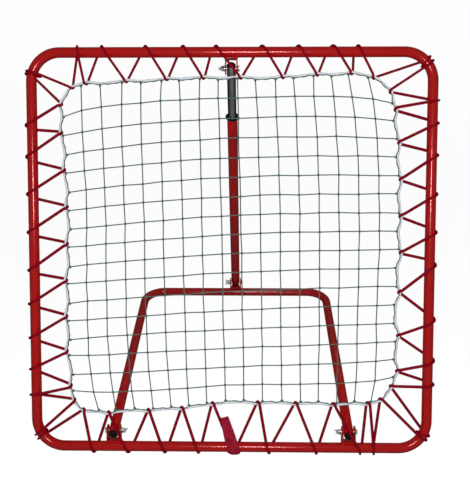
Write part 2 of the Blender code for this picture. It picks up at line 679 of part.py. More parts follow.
def border_ring():
    """The rope's points in order: net corners, string ends and cord apexes."""
    sides = [(TOP_APEXES, TOP_STRINGS), (RIGHT_APEXES, RIGHT_STRINGS),
             (BOTTOM_APEXES, BOTTOM_STRINGS), (LEFT_APEXES, LEFT_STRINGS)]
    ring = []
    for index, (apexes, strings) in enumerate(sides):
        start = NET_CORNERS[index]
        end = NET_CORNERS[(index + 1) % 4]
        axis = index % 2
        outline = [start] + apexes + [end]
        entries = [(apex[axis], "apex", apex) for apex in apexes]
        entries += [(value, "string", along(outline, value, axis)) for value in strings]
        entries.sort(key=lambda entry: entry[0] * (1 if index in (0, 3) else -1))
        ring.append(("corner", start))
        ring += [(kind, point) for _, kind, point in entries]
    return ring


def relax_net():
    """Let the rope and strings settle between the fixed apexes, as taut cords do."""
    ring = border_ring()
    size = NET_STRINGS + 2
    grid = {}
    side_cells = [[(c, 0) for c in range(size)], [(size - 1, r) for r in range(size)],
                  [(c, size - 1) for c in reversed(range(size))],
                  [(0, r) for r in reversed(range(size))]]
    border_cells = [cell for side in side_cells for cell in side[:-1]]
    fastened = [i for i, (kind, _) in enumerate(ring) if kind != "apex"]
    for cell, index in zip(border_cells, fastened):
        grid[cell] = index
    count = len(ring)
    for row in range(1, size - 1):
        for column in range(1, size - 1):
            grid[(column, row)] = count
            count += 1
    edges = []
    for index in range(len(ring)):
        other = (index + 1) % len(ring)
        span = math.dist(ring[index][1], ring[other][1])
        edges.append((index, other, ROPE_TENSION / max(span, 1.0)))
    pitch = (TOP_STRINGS[-1] - TOP_STRINGS[0]) / (NET_STRINGS - 1)
    for row in range(1, size - 1):
        for column in range(size - 1):
            edges.append((grid[(column, row)], grid[(column + 1, row)], STRING_TENSION / pitch))
            edges.append((grid[(row, column)], grid[(row, column + 1)], STRING_TENSION / pitch))
    stiffness = np.zeros((count, count))
    for a, b, q in edges:
        stiffness[a, a] += q
        stiffness[b, b] += q
        stiffness[a, b] -= q
        stiffness[b, a] -= q
    fixed = [i for i, (kind, _) in enumerate(ring) if kind == "apex"]
    free = [i for i in range(count) if i not in set(fixed)]
    held = np.array([ring[i][1] for i in fixed], dtype=float)
    places = np.zeros((count, 2))
    places[fixed] = held
    pull = -stiffness[np.ix_(free, fixed)] @ held
    places[free] = np.linalg.solve(stiffness[np.ix_(free, free)], pull)
    return places * MM, len(ring), grid, fastened


def inset_ring(points, distance):
    """Each ring point moved towards the net's middle, square to the rope."""
    moved = []
    for index, here in enumerate(points):
        before = points[index - 1]
        after = points[(index + 1) % len(points)]
        heading = Vector((after[0] - before[0], after[1] - before[1])).normalized()
        inward = Vector((heading.y, -heading.x))
        moved.append((here[0] + inward.x * distance, here[1] + inward.y * distance))
    return moved


def net_faces(ring_count, grid, fastened):
    """Mesh cells as faces. A cell on the border also takes the ring's apexes."""
    next_fastened = dict(zip(fastened, fastened[1:] + fastened[:1]))
    faces = []
    for row in range(NET_STRINGS + 1):
        for column in range(NET_STRINGS + 1):
            corners = [(column, row), (column + 1, row), (column + 1, row + 1), (column, row + 1)]
            loop = []
            for here, after in zip(corners, corners[1:] + corners[:1]):
                a, b = grid[here], grid[after]
                loop.append(a)
                if next_fastened.get(a) == b:
                    between = (b - a - 1) % ring_count
                    loop += [(a + 1 + step) % ring_count for step in range(between)]
            faces.append(loop)
    return faces


def make_net():
    places, ring_count, grid, fastened = relax_net()
    rope_points = [tuple(place) for place in places[:ring_count]]
    rope = tube_curve("border_rope", [in_plane(x, s) for x, s in rope_points], ROPE_R, 1, True)
    add_object("border_rope", rope, "rope_white", FRAME_PLANE)

    selvedge = inset_ring(rope_points, NET_INSET)
    points = selvedge + [tuple(place) for place in places[ring_count:]]
    shape = bmesh.new()
    vertices = [shape.verts.new(in_plane(x, s)) for x, s in points]
    for loop in net_faces(ring_count, grid, fastened):
        shape.faces.new([vertices[i] for i in loop])
    bmesh.ops.recalc_face_normals(shape, faces=shape.faces)
    mesh = bpy.data.meshes.new("net")
    shape.to_mesh(mesh)
    shape.free()
    net = add_object("net", mesh, "twine_green", FRAME_PLANE)
    strings = net.modifiers.new("Strings", "WIREFRAME")
    strings.thickness = TWINE_D
    strings.use_even_offset = True
    strings.use_boundary = True
    strings.use_replace = True
    return net


# Elastic cord

def corner_center(name):
    inner = HALF_WIDTH - CORNER_RADIUS
    x = -inner if "left" in name else inner
    s = TOP_S - CORNER_RADIUS if "top" in name else CORNER_RADIUS
    return Vector((x, s))


def wrap_site(place, outward):
    """A wrap's centre on the tube and its outward direction, both in the plane."""
    return (Vector(place), Vector(outward).normalized())


def corner_site(name):
    angle = math.radians(CORNER_WRAP_ANGLES[name])
    outward = Vector((math.cos(angle), math.sin(angle)))
    return wrap_site(corner_center(name) + outward * CORNER_RADIUS, outward)


def wrap_points(site, angles, step=WRAP_STEP):
    """The cord round the tube, from behind over the outer edge to the front."""
    center, outward = site
    travel = Vector((outward.y, -outward.x))
    middle = (len(angles) - 1) / 2
    points = []
    for index, angle in enumerate(angles):
        turn = math.radians(angle)
        flat = center + outward * (WRAP_RADIUS * math.cos(turn)) + travel * (step * (index - middle))
        points.append(in_plane(flat.x, flat.y, WRAP_RADIUS * math.sin(turn)))
    return points


def hook_points(apex, before, after):
    """The cord round the rope: in from the front, out again at the back."""
    travel = (after - before).normalized()
    inward = Vector((travel.y, -travel.x))
    lift = ROPE_R + CORD_R + CORD_PASS
    stations = [(HOOK_START, -HOOK_MOUTH, -lift), (HOOK_REACH, -HOOK_TIP, -lift / 2),
                (HOOK_REACH, HOOK_TIP, lift / 2), (HOOK_START, HOOK_MOUTH, lift)]
    points = []
    for depth, side, back in stations:
        flat = apex + inward * depth + travel * side
        points.append(in_plane(flat.x, flat.y, back))
    return points


def cord_runs():
    """Four stretches of the one cord, each from a corner wrap to the next."""
    sides = [("bungee_top", TOP_APEXES, [((x * MM, TOP_S), (0, 1)) for x in TOP_WRAPS]),
             ("bungee_right", RIGHT_APEXES, [((HALF_WIDTH, s * MM), (1, 0)) for s in RIGHT_WRAPS]),
             ("bungee_bottom", BOTTOM_APEXES, [((x * MM, 0), (0, -1)) for x in BOTTOM_WRAPS]),
             ("bungee_left", LEFT_APEXES, [((-HALF_WIDTH, s * MM), (-1, 0)) for s in LEFT_WRAPS])]
    corners = ["top_left", "top_right", "bottom_right", "bottom_left"]
    ring = [Vector(apex) * MM for _, apexes, _ in sides for apex in apexes]
    runs = []
    for index, (name, apexes, wraps) in enumerate(sides):
        first = corner_site(corners[index])
        last = corner_site(corners[(index + 1) % 4])
        sites = [first] + [wrap_site(*wrap) for wrap in wraps] + [last]
        points = []
        for number in range(len(apexes)):
            place = index * len(apexes) + number
            if number:
                points += wrap_points(sites[number], WRAP_ANGLES)
            points += hook_points(ring[place], ring[place - 1], ring[(place + 1) % len(ring)])
        runs.append((name, points, first, last))
    return runs


def half_wrap(site, leaving):
    """Half of a corner wrap, ending at the face where two stretches meet."""
    points = wrap_points(site, WRAP_ANGLES)
    middle = (points[1] + points[2]) / 2
    back_off = (points[2] - points[1]).normalized() * (GAP / 2)
    if leaving:
        return [middle + back_off, points[2], points[3]]
    return [points[0], points[1], middle - back_off]


def knot_wrap(site, leaving):
    """A whole turn of the tube that starts or ends in the knot on its inner side."""
    travel = Vector((site[1].y, -site[1].x))
    shift = travel * ((CORD_D + KNOT_WRAP_GAP) / 2)
    if leaving:
        turned = (site[0] + shift, site[1])
        return wrap_points(turned, KNOT_LEAD_ANGLES + WRAP_ANGLES, KNOT_WRAP_STEP)
    turned = (site[0] - shift, site[1])
    tail_angles = tuple(-angle for angle in reversed(KNOT_LEAD_ANGLES))
    return wrap_points(turned, WRAP_ANGLES + tail_angles, KNOT_WRAP_STEP)


def make_cord():
    runs = cord_runs()
    for index, (name, points, first, last) in enumerate(runs):
        start = knot_wrap(first, True) if index == 0 else half_wrap(first, True)
        end = knot_wrap(last, False) if index == 3 else half_wrap(last, False)
        curve = tube_curve(name, start + points + end, CORD_R, 1)
        add_object(name, curve, "cord_crimson", FRAME_PLANE)


def make_knot():
    """The reef knot that closes the cord's loop, inside the top left corner."""
    center, outward = corner_site("top_left")
    place = center - outward * (WRAP_RADIUS + KNOT_D / 2 - KNOT_SEAT)
    shape = bmesh.new()
    bmesh.ops.create_uvsphere(shape, u_segments=10, v_segments=6, radius=KNOT_D / 2)
    mesh = mesh_from_bmesh("bungee_knot", shape)
    return add_object("bungee_knot", mesh, "cord_crimson", FRAME_PLANE, in_plane(place.x, place.y))


def make_tie():
    """A strip of fabric folded over the cord's front strand and the tube."""
    shape = bmesh.new()
    rows = []
    for across, up, back, width in TIE_ROUTE:
        row = []
        for share in (-0.5, 0.0, 0.5):
            corner = in_plane(across + width * share, up, back) * MM
            row.append(shape.verts.new(corner))
        rows.append(row)
    for upper, lower in zip(rows, rows[1:]):
        for column in range(2):
            shape.faces.new((upper[column], lower[column], lower[column + 1], upper[column + 1]))
    mesh = bpy.data.meshes.new("cord_tie")
    shape.to_mesh(mesh)
    shape.free()
    tie = add_object("cord_tie", mesh, "tie_crimson", FRAME_PLANE)
    thick = tie.modifiers.new("Cloth", "SOLIDIFY")
    thick.thickness = TIE_THICKNESS
    thick.offset = 0.0
    return tie


make_frame_ring()
make_leg_frame()
make_brackets()
make_fasteners()
make_strut()
make_net()
make_cord()
make_knot()
make_tie()
bpy.context.view_layer.update()
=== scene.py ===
"""Looks of the rebound net: painted tube, laced elastic cord, knotted net and its fittings.

Metres, in the frame's own space: +Z up, the net faces -Y, the stand reaches back to +Y.
"""

import json
import math

import bmesh
import bpy
import numpy as np
from mathutils import Matrix, Vector


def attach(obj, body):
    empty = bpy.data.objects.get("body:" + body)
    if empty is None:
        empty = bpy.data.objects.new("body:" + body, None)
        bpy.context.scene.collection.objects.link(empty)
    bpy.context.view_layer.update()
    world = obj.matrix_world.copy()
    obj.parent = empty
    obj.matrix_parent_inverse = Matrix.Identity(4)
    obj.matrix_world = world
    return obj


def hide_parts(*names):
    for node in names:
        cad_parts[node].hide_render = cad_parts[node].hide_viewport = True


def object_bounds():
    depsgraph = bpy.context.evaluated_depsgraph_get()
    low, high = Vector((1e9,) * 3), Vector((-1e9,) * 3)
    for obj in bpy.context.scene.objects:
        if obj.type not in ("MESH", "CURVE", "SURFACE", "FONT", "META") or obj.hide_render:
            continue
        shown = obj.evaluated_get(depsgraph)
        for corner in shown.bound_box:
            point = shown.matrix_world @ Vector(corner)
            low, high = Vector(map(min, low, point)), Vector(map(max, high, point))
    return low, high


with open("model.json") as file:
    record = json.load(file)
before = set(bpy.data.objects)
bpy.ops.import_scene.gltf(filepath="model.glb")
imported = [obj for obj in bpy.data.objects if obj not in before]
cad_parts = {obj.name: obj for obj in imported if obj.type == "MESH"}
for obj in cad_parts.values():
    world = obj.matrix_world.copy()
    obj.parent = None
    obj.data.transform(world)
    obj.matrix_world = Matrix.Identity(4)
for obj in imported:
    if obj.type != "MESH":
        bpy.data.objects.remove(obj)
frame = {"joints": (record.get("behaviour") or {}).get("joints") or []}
cad_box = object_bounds()

MM = 0.001

# Sizes shared with the CAD
TUBE_OD = 0.0254
TUBE_WALL = 0.0015
CORNER_RADIUS = 0.070
DRAIN_HOLE = 0.005
DRAIN_X = 0.120
LEG_SPACING = 0.590
LEG_BEND_RADIUS = 0.062
LEG_END = 0.013
CAP_FLANGE = 0.002
STRUT_PLUG_DOME = 0.005
PLATE = 0.003
EAR_RADIUS = 0.015
PIVOT_RISE = 0.0375
PIVOT_BACK = 0.009
EAR_DROP = 0.0065
EAR_PAST_TUBE = 0.0076
WEB_SEAT = 0.0005
LEG_SIDE_CLEARANCE = 0.00115
STRUT_SIDE_CLEARANCE = 0.0012
INNER_OD = 0.022
INNER_WALL = 0.0015
INNER_OVERLAP = 0.260
INNER_END = 0.0095
OUTER_OD = 0.027
OUTER_WALL = 0.0012
MOUTH_FROM_PIVOT = 0.151
OUTER_END = 0.010
FOOT_PLAY = 0.0026
FOOT_PLAY_BACK = -0.0021
FOOT_PLAY_UP = 0.0011
COLLAR_OD = 0.036
COLLAR_FLANGE = 0.0028
COLLAR_DEPTH = 0.020
BOLT_D = 0.008
BOLT_PITCH = 0.00125
HEAD_ACROSS_FLATS = 0.013
HEAD_HEIGHT = 0.0053
WASHER_OD = 0.016
WASHER_THICKNESS = 0.0016
WING_SPAN = 0.030
WING_HEIGHT = 0.0145
WING_THICKNESS = 0.0028
HUB_BASE_D = 0.0145
HUB_TOP_D = 0.0115
HUB_HEIGHT = 0.0085
BOLT_PROUD = 0.003
LOCK_FROM_MOUTH = 0.042
LOCK_D = 0.006
LOCK_PITCH = 0.001
LOCK_NUT_FLATS = 0.012
LOCK_NUT_HEIGHT = 0.007
LOCK_WING_SPAN = 0.026
LOCK_STEM = 0.006
LOCK_HUB_TOP_D = 0.0092
GAP = 0.0003

# Small forms that only the looks have
ON_AXIS = 0.0001
HAIR = 0.0001
PIPE_EDGE = 0.0003
PLUG_OFF_BOLT = 0.0012
PLUG_EDGE = 0.0007
PLUG_RIM_IN = 0.0005
PLUG_PLAY = 0.00045
RIB_GROOVE = 0.0004
SPIGOT_TAPER = 0.0006
MOUTH_EASE = 0.0012
BEAD_STEP = 0.0004
BEAD_RIPPLE = 0.0021
BEAD_END = 0.002
BEAD_KEPT_SHORT = 0.06
BRACKET_BEAD_R = 0.0014
NUT_BEAD_R = 0.0011
BRACKET_EDGE = 0.0006
HEAD_OVERLAP = 0.001
THREAD_BEFORE_NUT = 0.004
NUT_BURIED = 0.003
NUT_BEAD_OUT = 0.0004
STEM_BURIED = 0.0015
HUB_EDGE = 0.0008
CAST_GRAIN = 0.00042
PLIES = 3
PLIES_SWELL = 1.04
STRUT_STEP = 0.05
ROPE_STEP = 0.0016
ROPE_PITCH = 0.018
ROPE_GROOVE = 0.24
TWINE_STEP = 0.0015
TWINE_PITCH = 0.009
TWINE_GROOVE = 0.22
NODE_WANDER = (0.0011, 0.0007, 0.0011)
MESH_KNOT_SIZE = 0.0023
MESH_KNOT_R = 0.0014
EDGE_KNOT_SIZE = 0.0026
EDGE_KNOT_R = 0.00125
CORD_STEP = 0.0012
BRAID_PITCH = 0.0052
BRAID_RELIEF = 0.016
CORD_KNOT_SIZE = 0.0036
CORD_KNOT_STEP = 0.0008

# Net, rope and cord
TWINE_D = 0.0029
ROPE_D = 0.0055
CORD_D = 0.0065
ROPE_TENSION = 1.0
STRING_TENSION_UP = 0.20
STRING_TENSION_ACROSS = 0.40
NET_RISE = 0.008
SELVEDGE_PITCH = 0.046
SELVEDGE_SWING = math.radians(55)
HOOK_REACH = 0.0066
HOOK_LIFT = 0.0066
HOOK_SPREAD = 0.0038
WRAPPED_CORD_R = 0.0027
CORD_SWELL = 1.15
CORD_SWELL_TOP = 0.98
CORD_SWELL_HEIGHTS = (0.84, 0.90)
WRAP_SLANT = 0.0090
WRAP_SLANT_MOST = 0.0086
NEARLY_ROUND = math.radians(168)
KNOT_TURN_SHIFT = 0.0029
TURN_SLANT = 0.0016
KNOT_FROM_TUBE = 0.0062
KEPT_OFF_LEG = (0.2975, 0.042)
KEPT_OFF_REACH = 0.014
KEPT_OFF_BY = 0.0026

# The cord's route clockwise: top, right, bottom and left side, in millimetres across and up the
# frame's plane. A wrap has one place only, along its tube.
APEXES = [
    [(-390, 894), (-354, 905), (-256, 910), (-157, 915), (-68, 918),
     (23, 918), (125, 919), (208, 925), (291, 928), (346, 917)],
    [(389, 882), (403, 838), (413, 758), (418, 669), (419, 579),
     (421, 490), (419, 392), (418, 284), (417, 195), (402, 155)],
    [(375, 120), (342, 109), (256, 106), (162, 108), (68, 109),
     (-45, 106), (-122, 94), (-206, 88), (-306, 81), (-371, 88)],
    [(-397, 115), (-406, 153), (-415, 240), (-415, 328), (-414, 418),
     (-411, 509), (-410, 600), (-415, 690), (-421, 781), (-420, 851)]]
WRAPS = [[-374, -315, -209, -118, -38, 73, 161, 244, 305],
         [859, 805, 728, 634, 541, 461, 326, 224, 163],
         [357, 324, 215, 97, 10, -80, -164, -256, -343],
         [130, 194, 273, 358, 442, 536, 630, 721, 798]]

# Corners from the top left one, and where the net's strings reach the rope on each side
CORNER_WRAP_ANGLES = [165, 40, -30, 214]
NET_CORNERS = [(-407, 878), (369, 904), (390, 136), (-386, 99)]
STRINGS = [[-367, -319, -267, -220, -171, -126, -77, -31, 15, 59, 106, 151, 198, 242, 282, 331],
           [853, 810, 768, 723, 678, 634, 587, 542, 499, 452, 408, 360, 316, 269, 226, 179],
           [350, 308, 265, 218, 174, 128, 80, 32, -13, -60, -105, -149, -194, -240, -287, -331],
           [139, 182, 228, 269, 316, 361, 409, 452, 499, 544, 590, 635, 682, 726, 772, 819]]
NET_LAST = len(STRINGS[0]) + 1

# Fabric tie: across, up and out from the tube's axis, then visible width, in millimetres
TIE_ROUTE = [(-15.5, 80, -14.5, 19), (-11, 62, -17.2, 23.5), (-5.5, 43, -20.3, 27),
             (0, 24, -22.8, 29.5), (5, 8, -23.6, 31), (8, -4, -22.6, 30.5), (7.5, -15, -16.5, 29)]
TIE_WIDTH = 0.032
TIE_THICKNESS = 0.0016
TIE_TURN_R = 0.0034
TIE_TURN_MOST = 2.6
TIE_FRONT_LENGTH = 0.085
TIE_TIP = 0.012
TIE_TIP_LEAST = 0.12
TIE_RIPPLE = 0.00022
FIBRES = 620
FIBRES_AT_EDGES = 0.45
FIBRE_RADII = np.array([0.00006, 0.00005, 0.00002])
FIBRE_LENGTHS = (0.0006, 0.0014)

# Camera, fitted to the photograph's frame of 470 by 500 pixels
CAMERA_PLACE = Vector((0.0453, -1.6770, 1.4073))
CAMERA_PITCH = math.radians(31.274)
CAMERA_YAW = math.radians(1.306)
CAMERA_ROLL = math.radians(-0.519)
FOCAL_PIXELS = 740
FRAME_PIXELS = 500
SENSOR_MM = 36

# Floor, surroundings and lamps
WHITE = (1, 1, 1, 1)
FLOOR_SIZE = 60.0
FLOOR_DROP = 0.0006
FLOOR_PALE = 0.12
FLOOR_LIFT_NEAR = 0.93
FLOOR_LIFT_FAR = 0.97
FLOOR_NEAR = 1.5
FLOOR_FAR = 4.0
WORLD_FILL = 0.12
KEY_SHARE = 0.92
KEY_SIZE = 0.34
KEY_ABOVE = 0.05
KEY_BEHIND = 0.10
BACK_SHARE = 0.10
BACK_SIZE = 1.6
BACK_PLACE = Vector((0.9, 2.3, 2.2))

X = Vector((1, 0, 0))
TUBE_R = TUBE_OD / 2
TWINE_R = TWINE_D / 2
CORD_R = CORD_D / 2
BOLT_HOLE_R = BOLT_D / 2 + GAP
SELVEDGE_R = ROPE_D / 2 + TWINE_R * 0.8
WRAP_R = TUBE_R + WRAPPED_CORD_R + HAIR
LOCK_HEIGHT = -(MOUTH_FROM_PIVOT + LOCK_FROM_MOUTH)
LEG_INSIDE = TUBE_OD + 2 * LEG_SIDE_CLEARANCE
TOP_INSIDE = INNER_OD + 2 * STRUT_SIDE_CLEARANCE
FOOT_INSIDE = OUTER_OD + 2 * STRUT_SIDE_CLEARANCE

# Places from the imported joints
JOINTS = {joint["name"]: joint for joint in frame["joints"]}
TILT_PIVOT = Vector(JOINTS["frame_tilt"]["pos_m"])
TOP_PIVOT = Vector(JOINTS["strut_swing"]["pos_m"])
FOOT_PIVOT = Vector((0, *JOINTS["foot_nut_spin"]["pos_m"][1:]))
STRUT_UP = -Vector(JOINTS["strut_extend"]["axis"]).normalized()
FRAME_UP = (TOP_PIVOT - TILT_PIVOT).normalized()
TOP_S = (TOP_PIVOT - TILT_PIVOT).length + 2 * PIVOT_RISE
HALF_WIDTH = TOP_S / 2
INNER_HALF = HALF_WIDTH - CORNER_RADIUS
LEG_LENGTH = math.sqrt((FOOT_PIVOT - TILT_PIVOT).length_squared - PIVOT_RISE ** 2)
STRUT_LENGTH = (FOOT_PIVOT - TOP_PIVOT).length


def space(origin, up):
    """Local axes in the world: X stays, Z is the given up and Y points back from both."""
    return Matrix.Translation(origin) @ Matrix((X, up.cross(X), up)).transposed().to_4x4()


def moved(x=0.0, y=0.0, z=0.0):
    return Matrix.Translation((x, y, z))


def turned(degrees, axis):
    return Matrix.Rotation(math.radians(degrees), 4, axis)


FRAME_SPACE = space(TILT_PIVOT, FRAME_UP) @ moved(0, -PIVOT_BACK, -PIVOT_RISE)
LEG_RAISE = math.atan2(PIVOT_RISE, LEG_LENGTH)
STAND_ALONG = Matrix.Rotation(-LEG_RAISE, 3, "X") @ (FOOT_PIVOT - TILT_PIVOT).normalized()
STAND_SPACE = space(TILT_PIVOT, X.cross(STAND_ALONG))
STRUT_SPACE = space(TOP_PIVOT, STRUT_UP)


# Materials

class Nodes:
    """A node tree, with short ways to add to it."""

    def __init__(self, tree):
        self.tree = tree

    def fill(self, node, inputs):
        for key, value in inputs.items():
            if isinstance(value, bpy.types.NodeSocket):
                self.tree.links.new(value, node.inputs[key])
            elif value is not None:
                node.inputs[key].default_value = value

    def add(self, kind, inputs, output=0, **settings):
        """Add a node and return one of its outputs."""
        node = self.tree.nodes.new("ShaderNode" + kind)
        for key, value in settings.items():
            setattr(node, key, value)
        self.fill(node, inputs)
        return node.outputs[output] if node.outputs else None

    def math(self, operation, first, second):
        return self.add("Math", {0: first, 1: second}, operation=operation)

    def ranged(self, value, low, high, to_high=1.0, to_low=0.0):
        return self.add("MapRange", {0: value, 1: low, 2: high, 3: to_low, 4: to_high})

    def shown_directly(self):
        """One where a ray comes from the camera, a reflection or glass."""
        rays = self.add("LightPath", {}).node.outputs
        value = rays["Is Camera Ray"]
        for other in ("Is Glossy Ray", "Is Transmission Ray"):
            value = self.math("MAXIMUM", value, rays[other])
        return value


class Finish(Nodes):
    """A material, with short ways to the patterns on it."""

    def __init__(self, name, color, roughness, metallic=0.0, specular=0.0):
        self.material = bpy.data.materials.new(name)
        self.material.use_nodes = True
        super().__init__(self.material.node_tree)
        self.done({"Base Color": (*color, 1), "Roughness": roughness, "Metallic": metallic,
                   "Specular IOR Level": specular})

    def done(self, inputs):
        self.fill(self.tree.nodes["Principled BSDF"], inputs)
        return self.material

    def noise(self, scale, detail=3.0, roughness=0.5, coords=None, stretch=(1, 1, 1)):
        if coords is None:
            source = self.add("TexCoord", {}, "Object")
            coords = self.add("Mapping", {"Vector": source, "Scale": stretch})
        return self.add("TexNoise", {"Vector": coords, "Scale": scale, "Detail": detail,
                                     "Roughness": roughness})

    def mix(self, share, first, second):
        first, second = [(*c, 1) if isinstance(c, tuple) else c for c in (first, second)]
        return self.add("Mix", {0: share, 6: first, 7: second}, 2, data_type="RGBA")

    def bump(self, height, strength, distance, normal=None):
        return self.add("Bump", {"Height": height, "Strength": strength, "Distance": distance,
                                 "Normal": normal})

    def split_uv(self):
        """Share round the piece and metres along it."""
        return self.add("SeparateXYZ", {0: self.add("TexCoord", {}, "UV")}).node.outputs[:2]

    def times(self, value, factor):
        return self.math("MULTIPLY", value, factor)

    def joined(self, x, y):
        return self.add("CombineXYZ", {0: x, 1: y})


def red_paint():
    """Powder coat: slight orange peel, uneven film, fine rub marks and a thin gloss."""
    paint = Finish("red_paint", (0.340, 0.006, 0.005), 0.13, 0.03)
    film = paint.mix(paint.noise(9, 4), (0.305, 0.0014, 0.0012), (0.375, 0.0034, 0.0030))
    speck = paint.ranged(paint.noise(1400, 2), 0.35, 0.75, 0.16)
    scuffs = paint.ranged(paint.noise(60, 8, 0.75, stretch=(1, 1, 6)), 0.62, 0.74, 0.22)
    tone = paint.mix(speck, film, (0.220, 0.0020, 0.0016))
    peel = paint.bump(paint.noise(620, 2), 0.08, 0.00012)
    return paint.done({"Base Color": paint.mix(scuffs, tone, (0.42, 0.024, 0.020)),
                       "Coat Weight": 0.026, "Coat IOR": 4.0, "Coat Roughness": 0.13,
                       "Normal": paint.bump(paint.noise(120, 1), 0.05, 0.0003, peel)})


def black_tube():
    """Satin black coat with a painted highlight down its front, painted shade on both sides, and fine rub
    marks along it.
    """
    coat = Finish("black_tube", (0.055, 0.053, 0.049), 0.54, 0.5)
    around, along = coat.split_uv()
    streaks = coat.noise(1.0, 6, 0.6, coat.joined(coat.times(around, 26.0), coat.times(along, 7.0)))
    # Painted highlight: a paler band down the front, where the lamp by the camera lights the tube most.
    front = coat.mix(coat.noise(30, 4), (0.105, 0.101, 0.092), (0.150, 0.144, 0.132))
    # Painted shade: one side goes near black and the other dark, where the light falls off round the tube.
    tone = coat.mix(coat.ranged(around, 0.36, 0.49), (0.004, 0.004, 0.004), front)
    tone = coat.mix(coat.ranged(around, 0.54, 0.62), tone, (0.030, 0.030, 0.027))
    worn = coat.ranged(streaks, 0.50, 0.72, 0.25)
    return coat.done({"Base Color": coat.mix(worn, tone, (0.125, 0.120, 0.110)),
                      "Specular Tint": (0.2, 0.2, 0.2, 1),
                      "Normal": coat.bump(streaks, 0.15, 0.00015)})


def zinc():
    """Bright zinc plate, cloudy, with a faint yellow and blue cast."""
    plate = Finish("zinc", (0.32, 0.33, 0.34), 0.3, 1.0, 0.5)
    cloud = plate.noise(260, 5, 0.6)
    silver = plate.mix(plate.noise(75, 2), (0.29, 0.30, 0.33), (0.38, 0.37, 0.34))
    dull = plate.ranged(cloud, 0.48, 0.75, 0.6)
    return plate.done({"Base Color": plate.mix(dull, silver, (0.15, 0.15, 0.155)),
                       "Roughness": plate.ranged(cloud, 0.25, 0.75, 0.50, 0.26),
                       "Normal": plate.bump(plate.noise(1500), 0.25, 0.00008)})


def black_plastic():
    """Moulded black plastic with a spark-eroded grain and pale rubbed spots."""
    plastic = Finish("black_plastic", (0.005, 0.005, 0.005), 0.45, 0.0, 0.05)
    grain = plastic.noise(2400, 2)
    rubbed = plastic.ranged(plastic.noise(190, 6, 0.7), 0.56, 0.75, 0.35)
    tone = plastic.mix(rubbed, (0.0040, 0.0040, 0.0042), (0.018, 0.018, 0.019))
    return plastic.done({"Base Color": tone,
                         "Roughness": plastic.ranged(grain, 0.3, 0.7, 0.52, 0.36),
                         "Normal": plastic.bump(grain, 0.35, 0.0001)})


def yarn(name, pitch, dark, pale, fleck, fleck_share, groove_shade, relief):
    """Twisted yarn: plies wind round the piece, with fibres along each ply and shade painted darker in the
    grooves between plies.
    """
    twist = Finish(name, pale, 0.8)
    around, along = twist.split_uv()
    turn = twist.math("SUBTRACT", twist.times(around, PLIES), twist.times(along, PLIES / pitch))
    crown = twist.ranged(twist.math("PINGPONG", turn, 0.5), 0.0, 0.30)
    fibre = twist.noise(1.0, 5, 0.65, twist.joined(twist.times(turn, 9.0), twist.times(along, 420.0)))
    body = twist.mix(twist.ranged(fibre, 0.3, 0.7), dark, pale)
    body = twist.mix(twist.ranged(twist.noise(70), 0.62, 0.70, fleck_share), body, fleck)
    lay = twist.bump(crown, 0.6, relief)
    # Painted shade: the grooves between plies are coloured darker.
    return twist.done({"Base Color": twist.mix(crown, tuple(c * groove_shade for c in dark), body),
                       "Normal": twist.bump(fibre, 0.5, relief * 0.4, lay)})


def twine():
    return yarn("twine", TWINE_PITCH, (0.078, 0.142, 0.120), (0.140, 0.225, 0.197),
                (0.215, 0.310, 0.285), 0.5, 0.42, 0.0003)


def border_rope():
    return yarn("border_rope", ROPE_PITCH, (0.66, 0.70, 0.79), (0.88, 0.90, 0.95),
                (0.50, 0.68, 0.66), 0.45, 0.55, 0.0006)


def elastic_cord():
    """Braided sheath: two sets of strands cross in diamonds, with shade painted dark in the gaps between
    them.
    """
    sheath = Finish("elastic_cord", (0.30, 0.007, 0.020), 0.62)
    around, along = sheath.split_uv()
    strands = [sheath.math(way, sheath.times(around, 8.0), sheath.times(along, 560.0))
               for way in ("ADD", "SUBTRACT")]
    weave = sheath.math("MINIMUM", *[sheath.math("PINGPONG", strand, 0.5) for strand in strands])
    crown = sheath.ranged(weave, 0.02, 0.26)
    fuzz = sheath.noise(2600, 4, 0.7)
    body = sheath.mix(sheath.noise(36), (0.262, 0.0042, 0.0135), (0.345, 0.0076, 0.0225))
    body = sheath.mix(sheath.ranged(fuzz, 0.50, 0.78, 0.35), body, (0.38, 0.014, 0.034))
    lay = sheath.bump(crown, 0.6, 0.0003)
    # Painted shade: the gaps between the braid's strands are coloured dark.
    return sheath.done({"Base Color": sheath.mix(crown, (0.125, 0.0012, 0.0052), body),
                        "Normal": sheath.bump(fuzz, 0.4, 0.00015, lay)})


def tie_fabric():
    """Brushed loop fabric, blotchy in tone at random, with shade painted dark in the pile's hollows."""
    fabric = Finish("tie_fabric", (0.30, 0.010, 0.030), 0.92)
    pile = fabric.noise(1300, 5, 0.75)
    # Blotches of lighter and darker tone at random, also used as a soft bump.
    blotch = fabric.noise(85, 5, 0.6)
    body = fabric.mix(fabric.ranged(blotch, 0.32, 0.68), (0.205, 0.0050, 0.0170), (0.340, 0.0130, 0.034))
    body = fabric.mix(fabric.ranged(pile, 0.52, 0.78, 0.45), body, (0.42, 0.048, 0.075))
    # Painted shade: the pile's hollows are coloured dark.
    pile_shade = fabric.ranged(pile, 0.44, 0.24, 0.6)
    nap = fabric.bump(pile, 0.9, 0.0008)
    return fabric.done({"Base Color": fabric.mix(pile_shade, body, (0.085, 0.001, 0.006)),
                        "Normal": fabric.bump(blotch, 0.4, 0.0015, nap), "Sheen Weight": 0.06,
                        "Sheen Roughness": 0.5, "Sheen Tint": (1.0, 0.35, 0.42, 1)})


MATERIALS = {make.__name__: make() for make in (
    red_paint, black_tube, zinc, black_plastic, twine, border_rope, elastic_cord, tie_fabric)}


# Mesh tools

def linked(name, data):
    made = bpy.data.objects.new(name, data)
    bpy.context.scene.collection.objects.link(made)
    return made


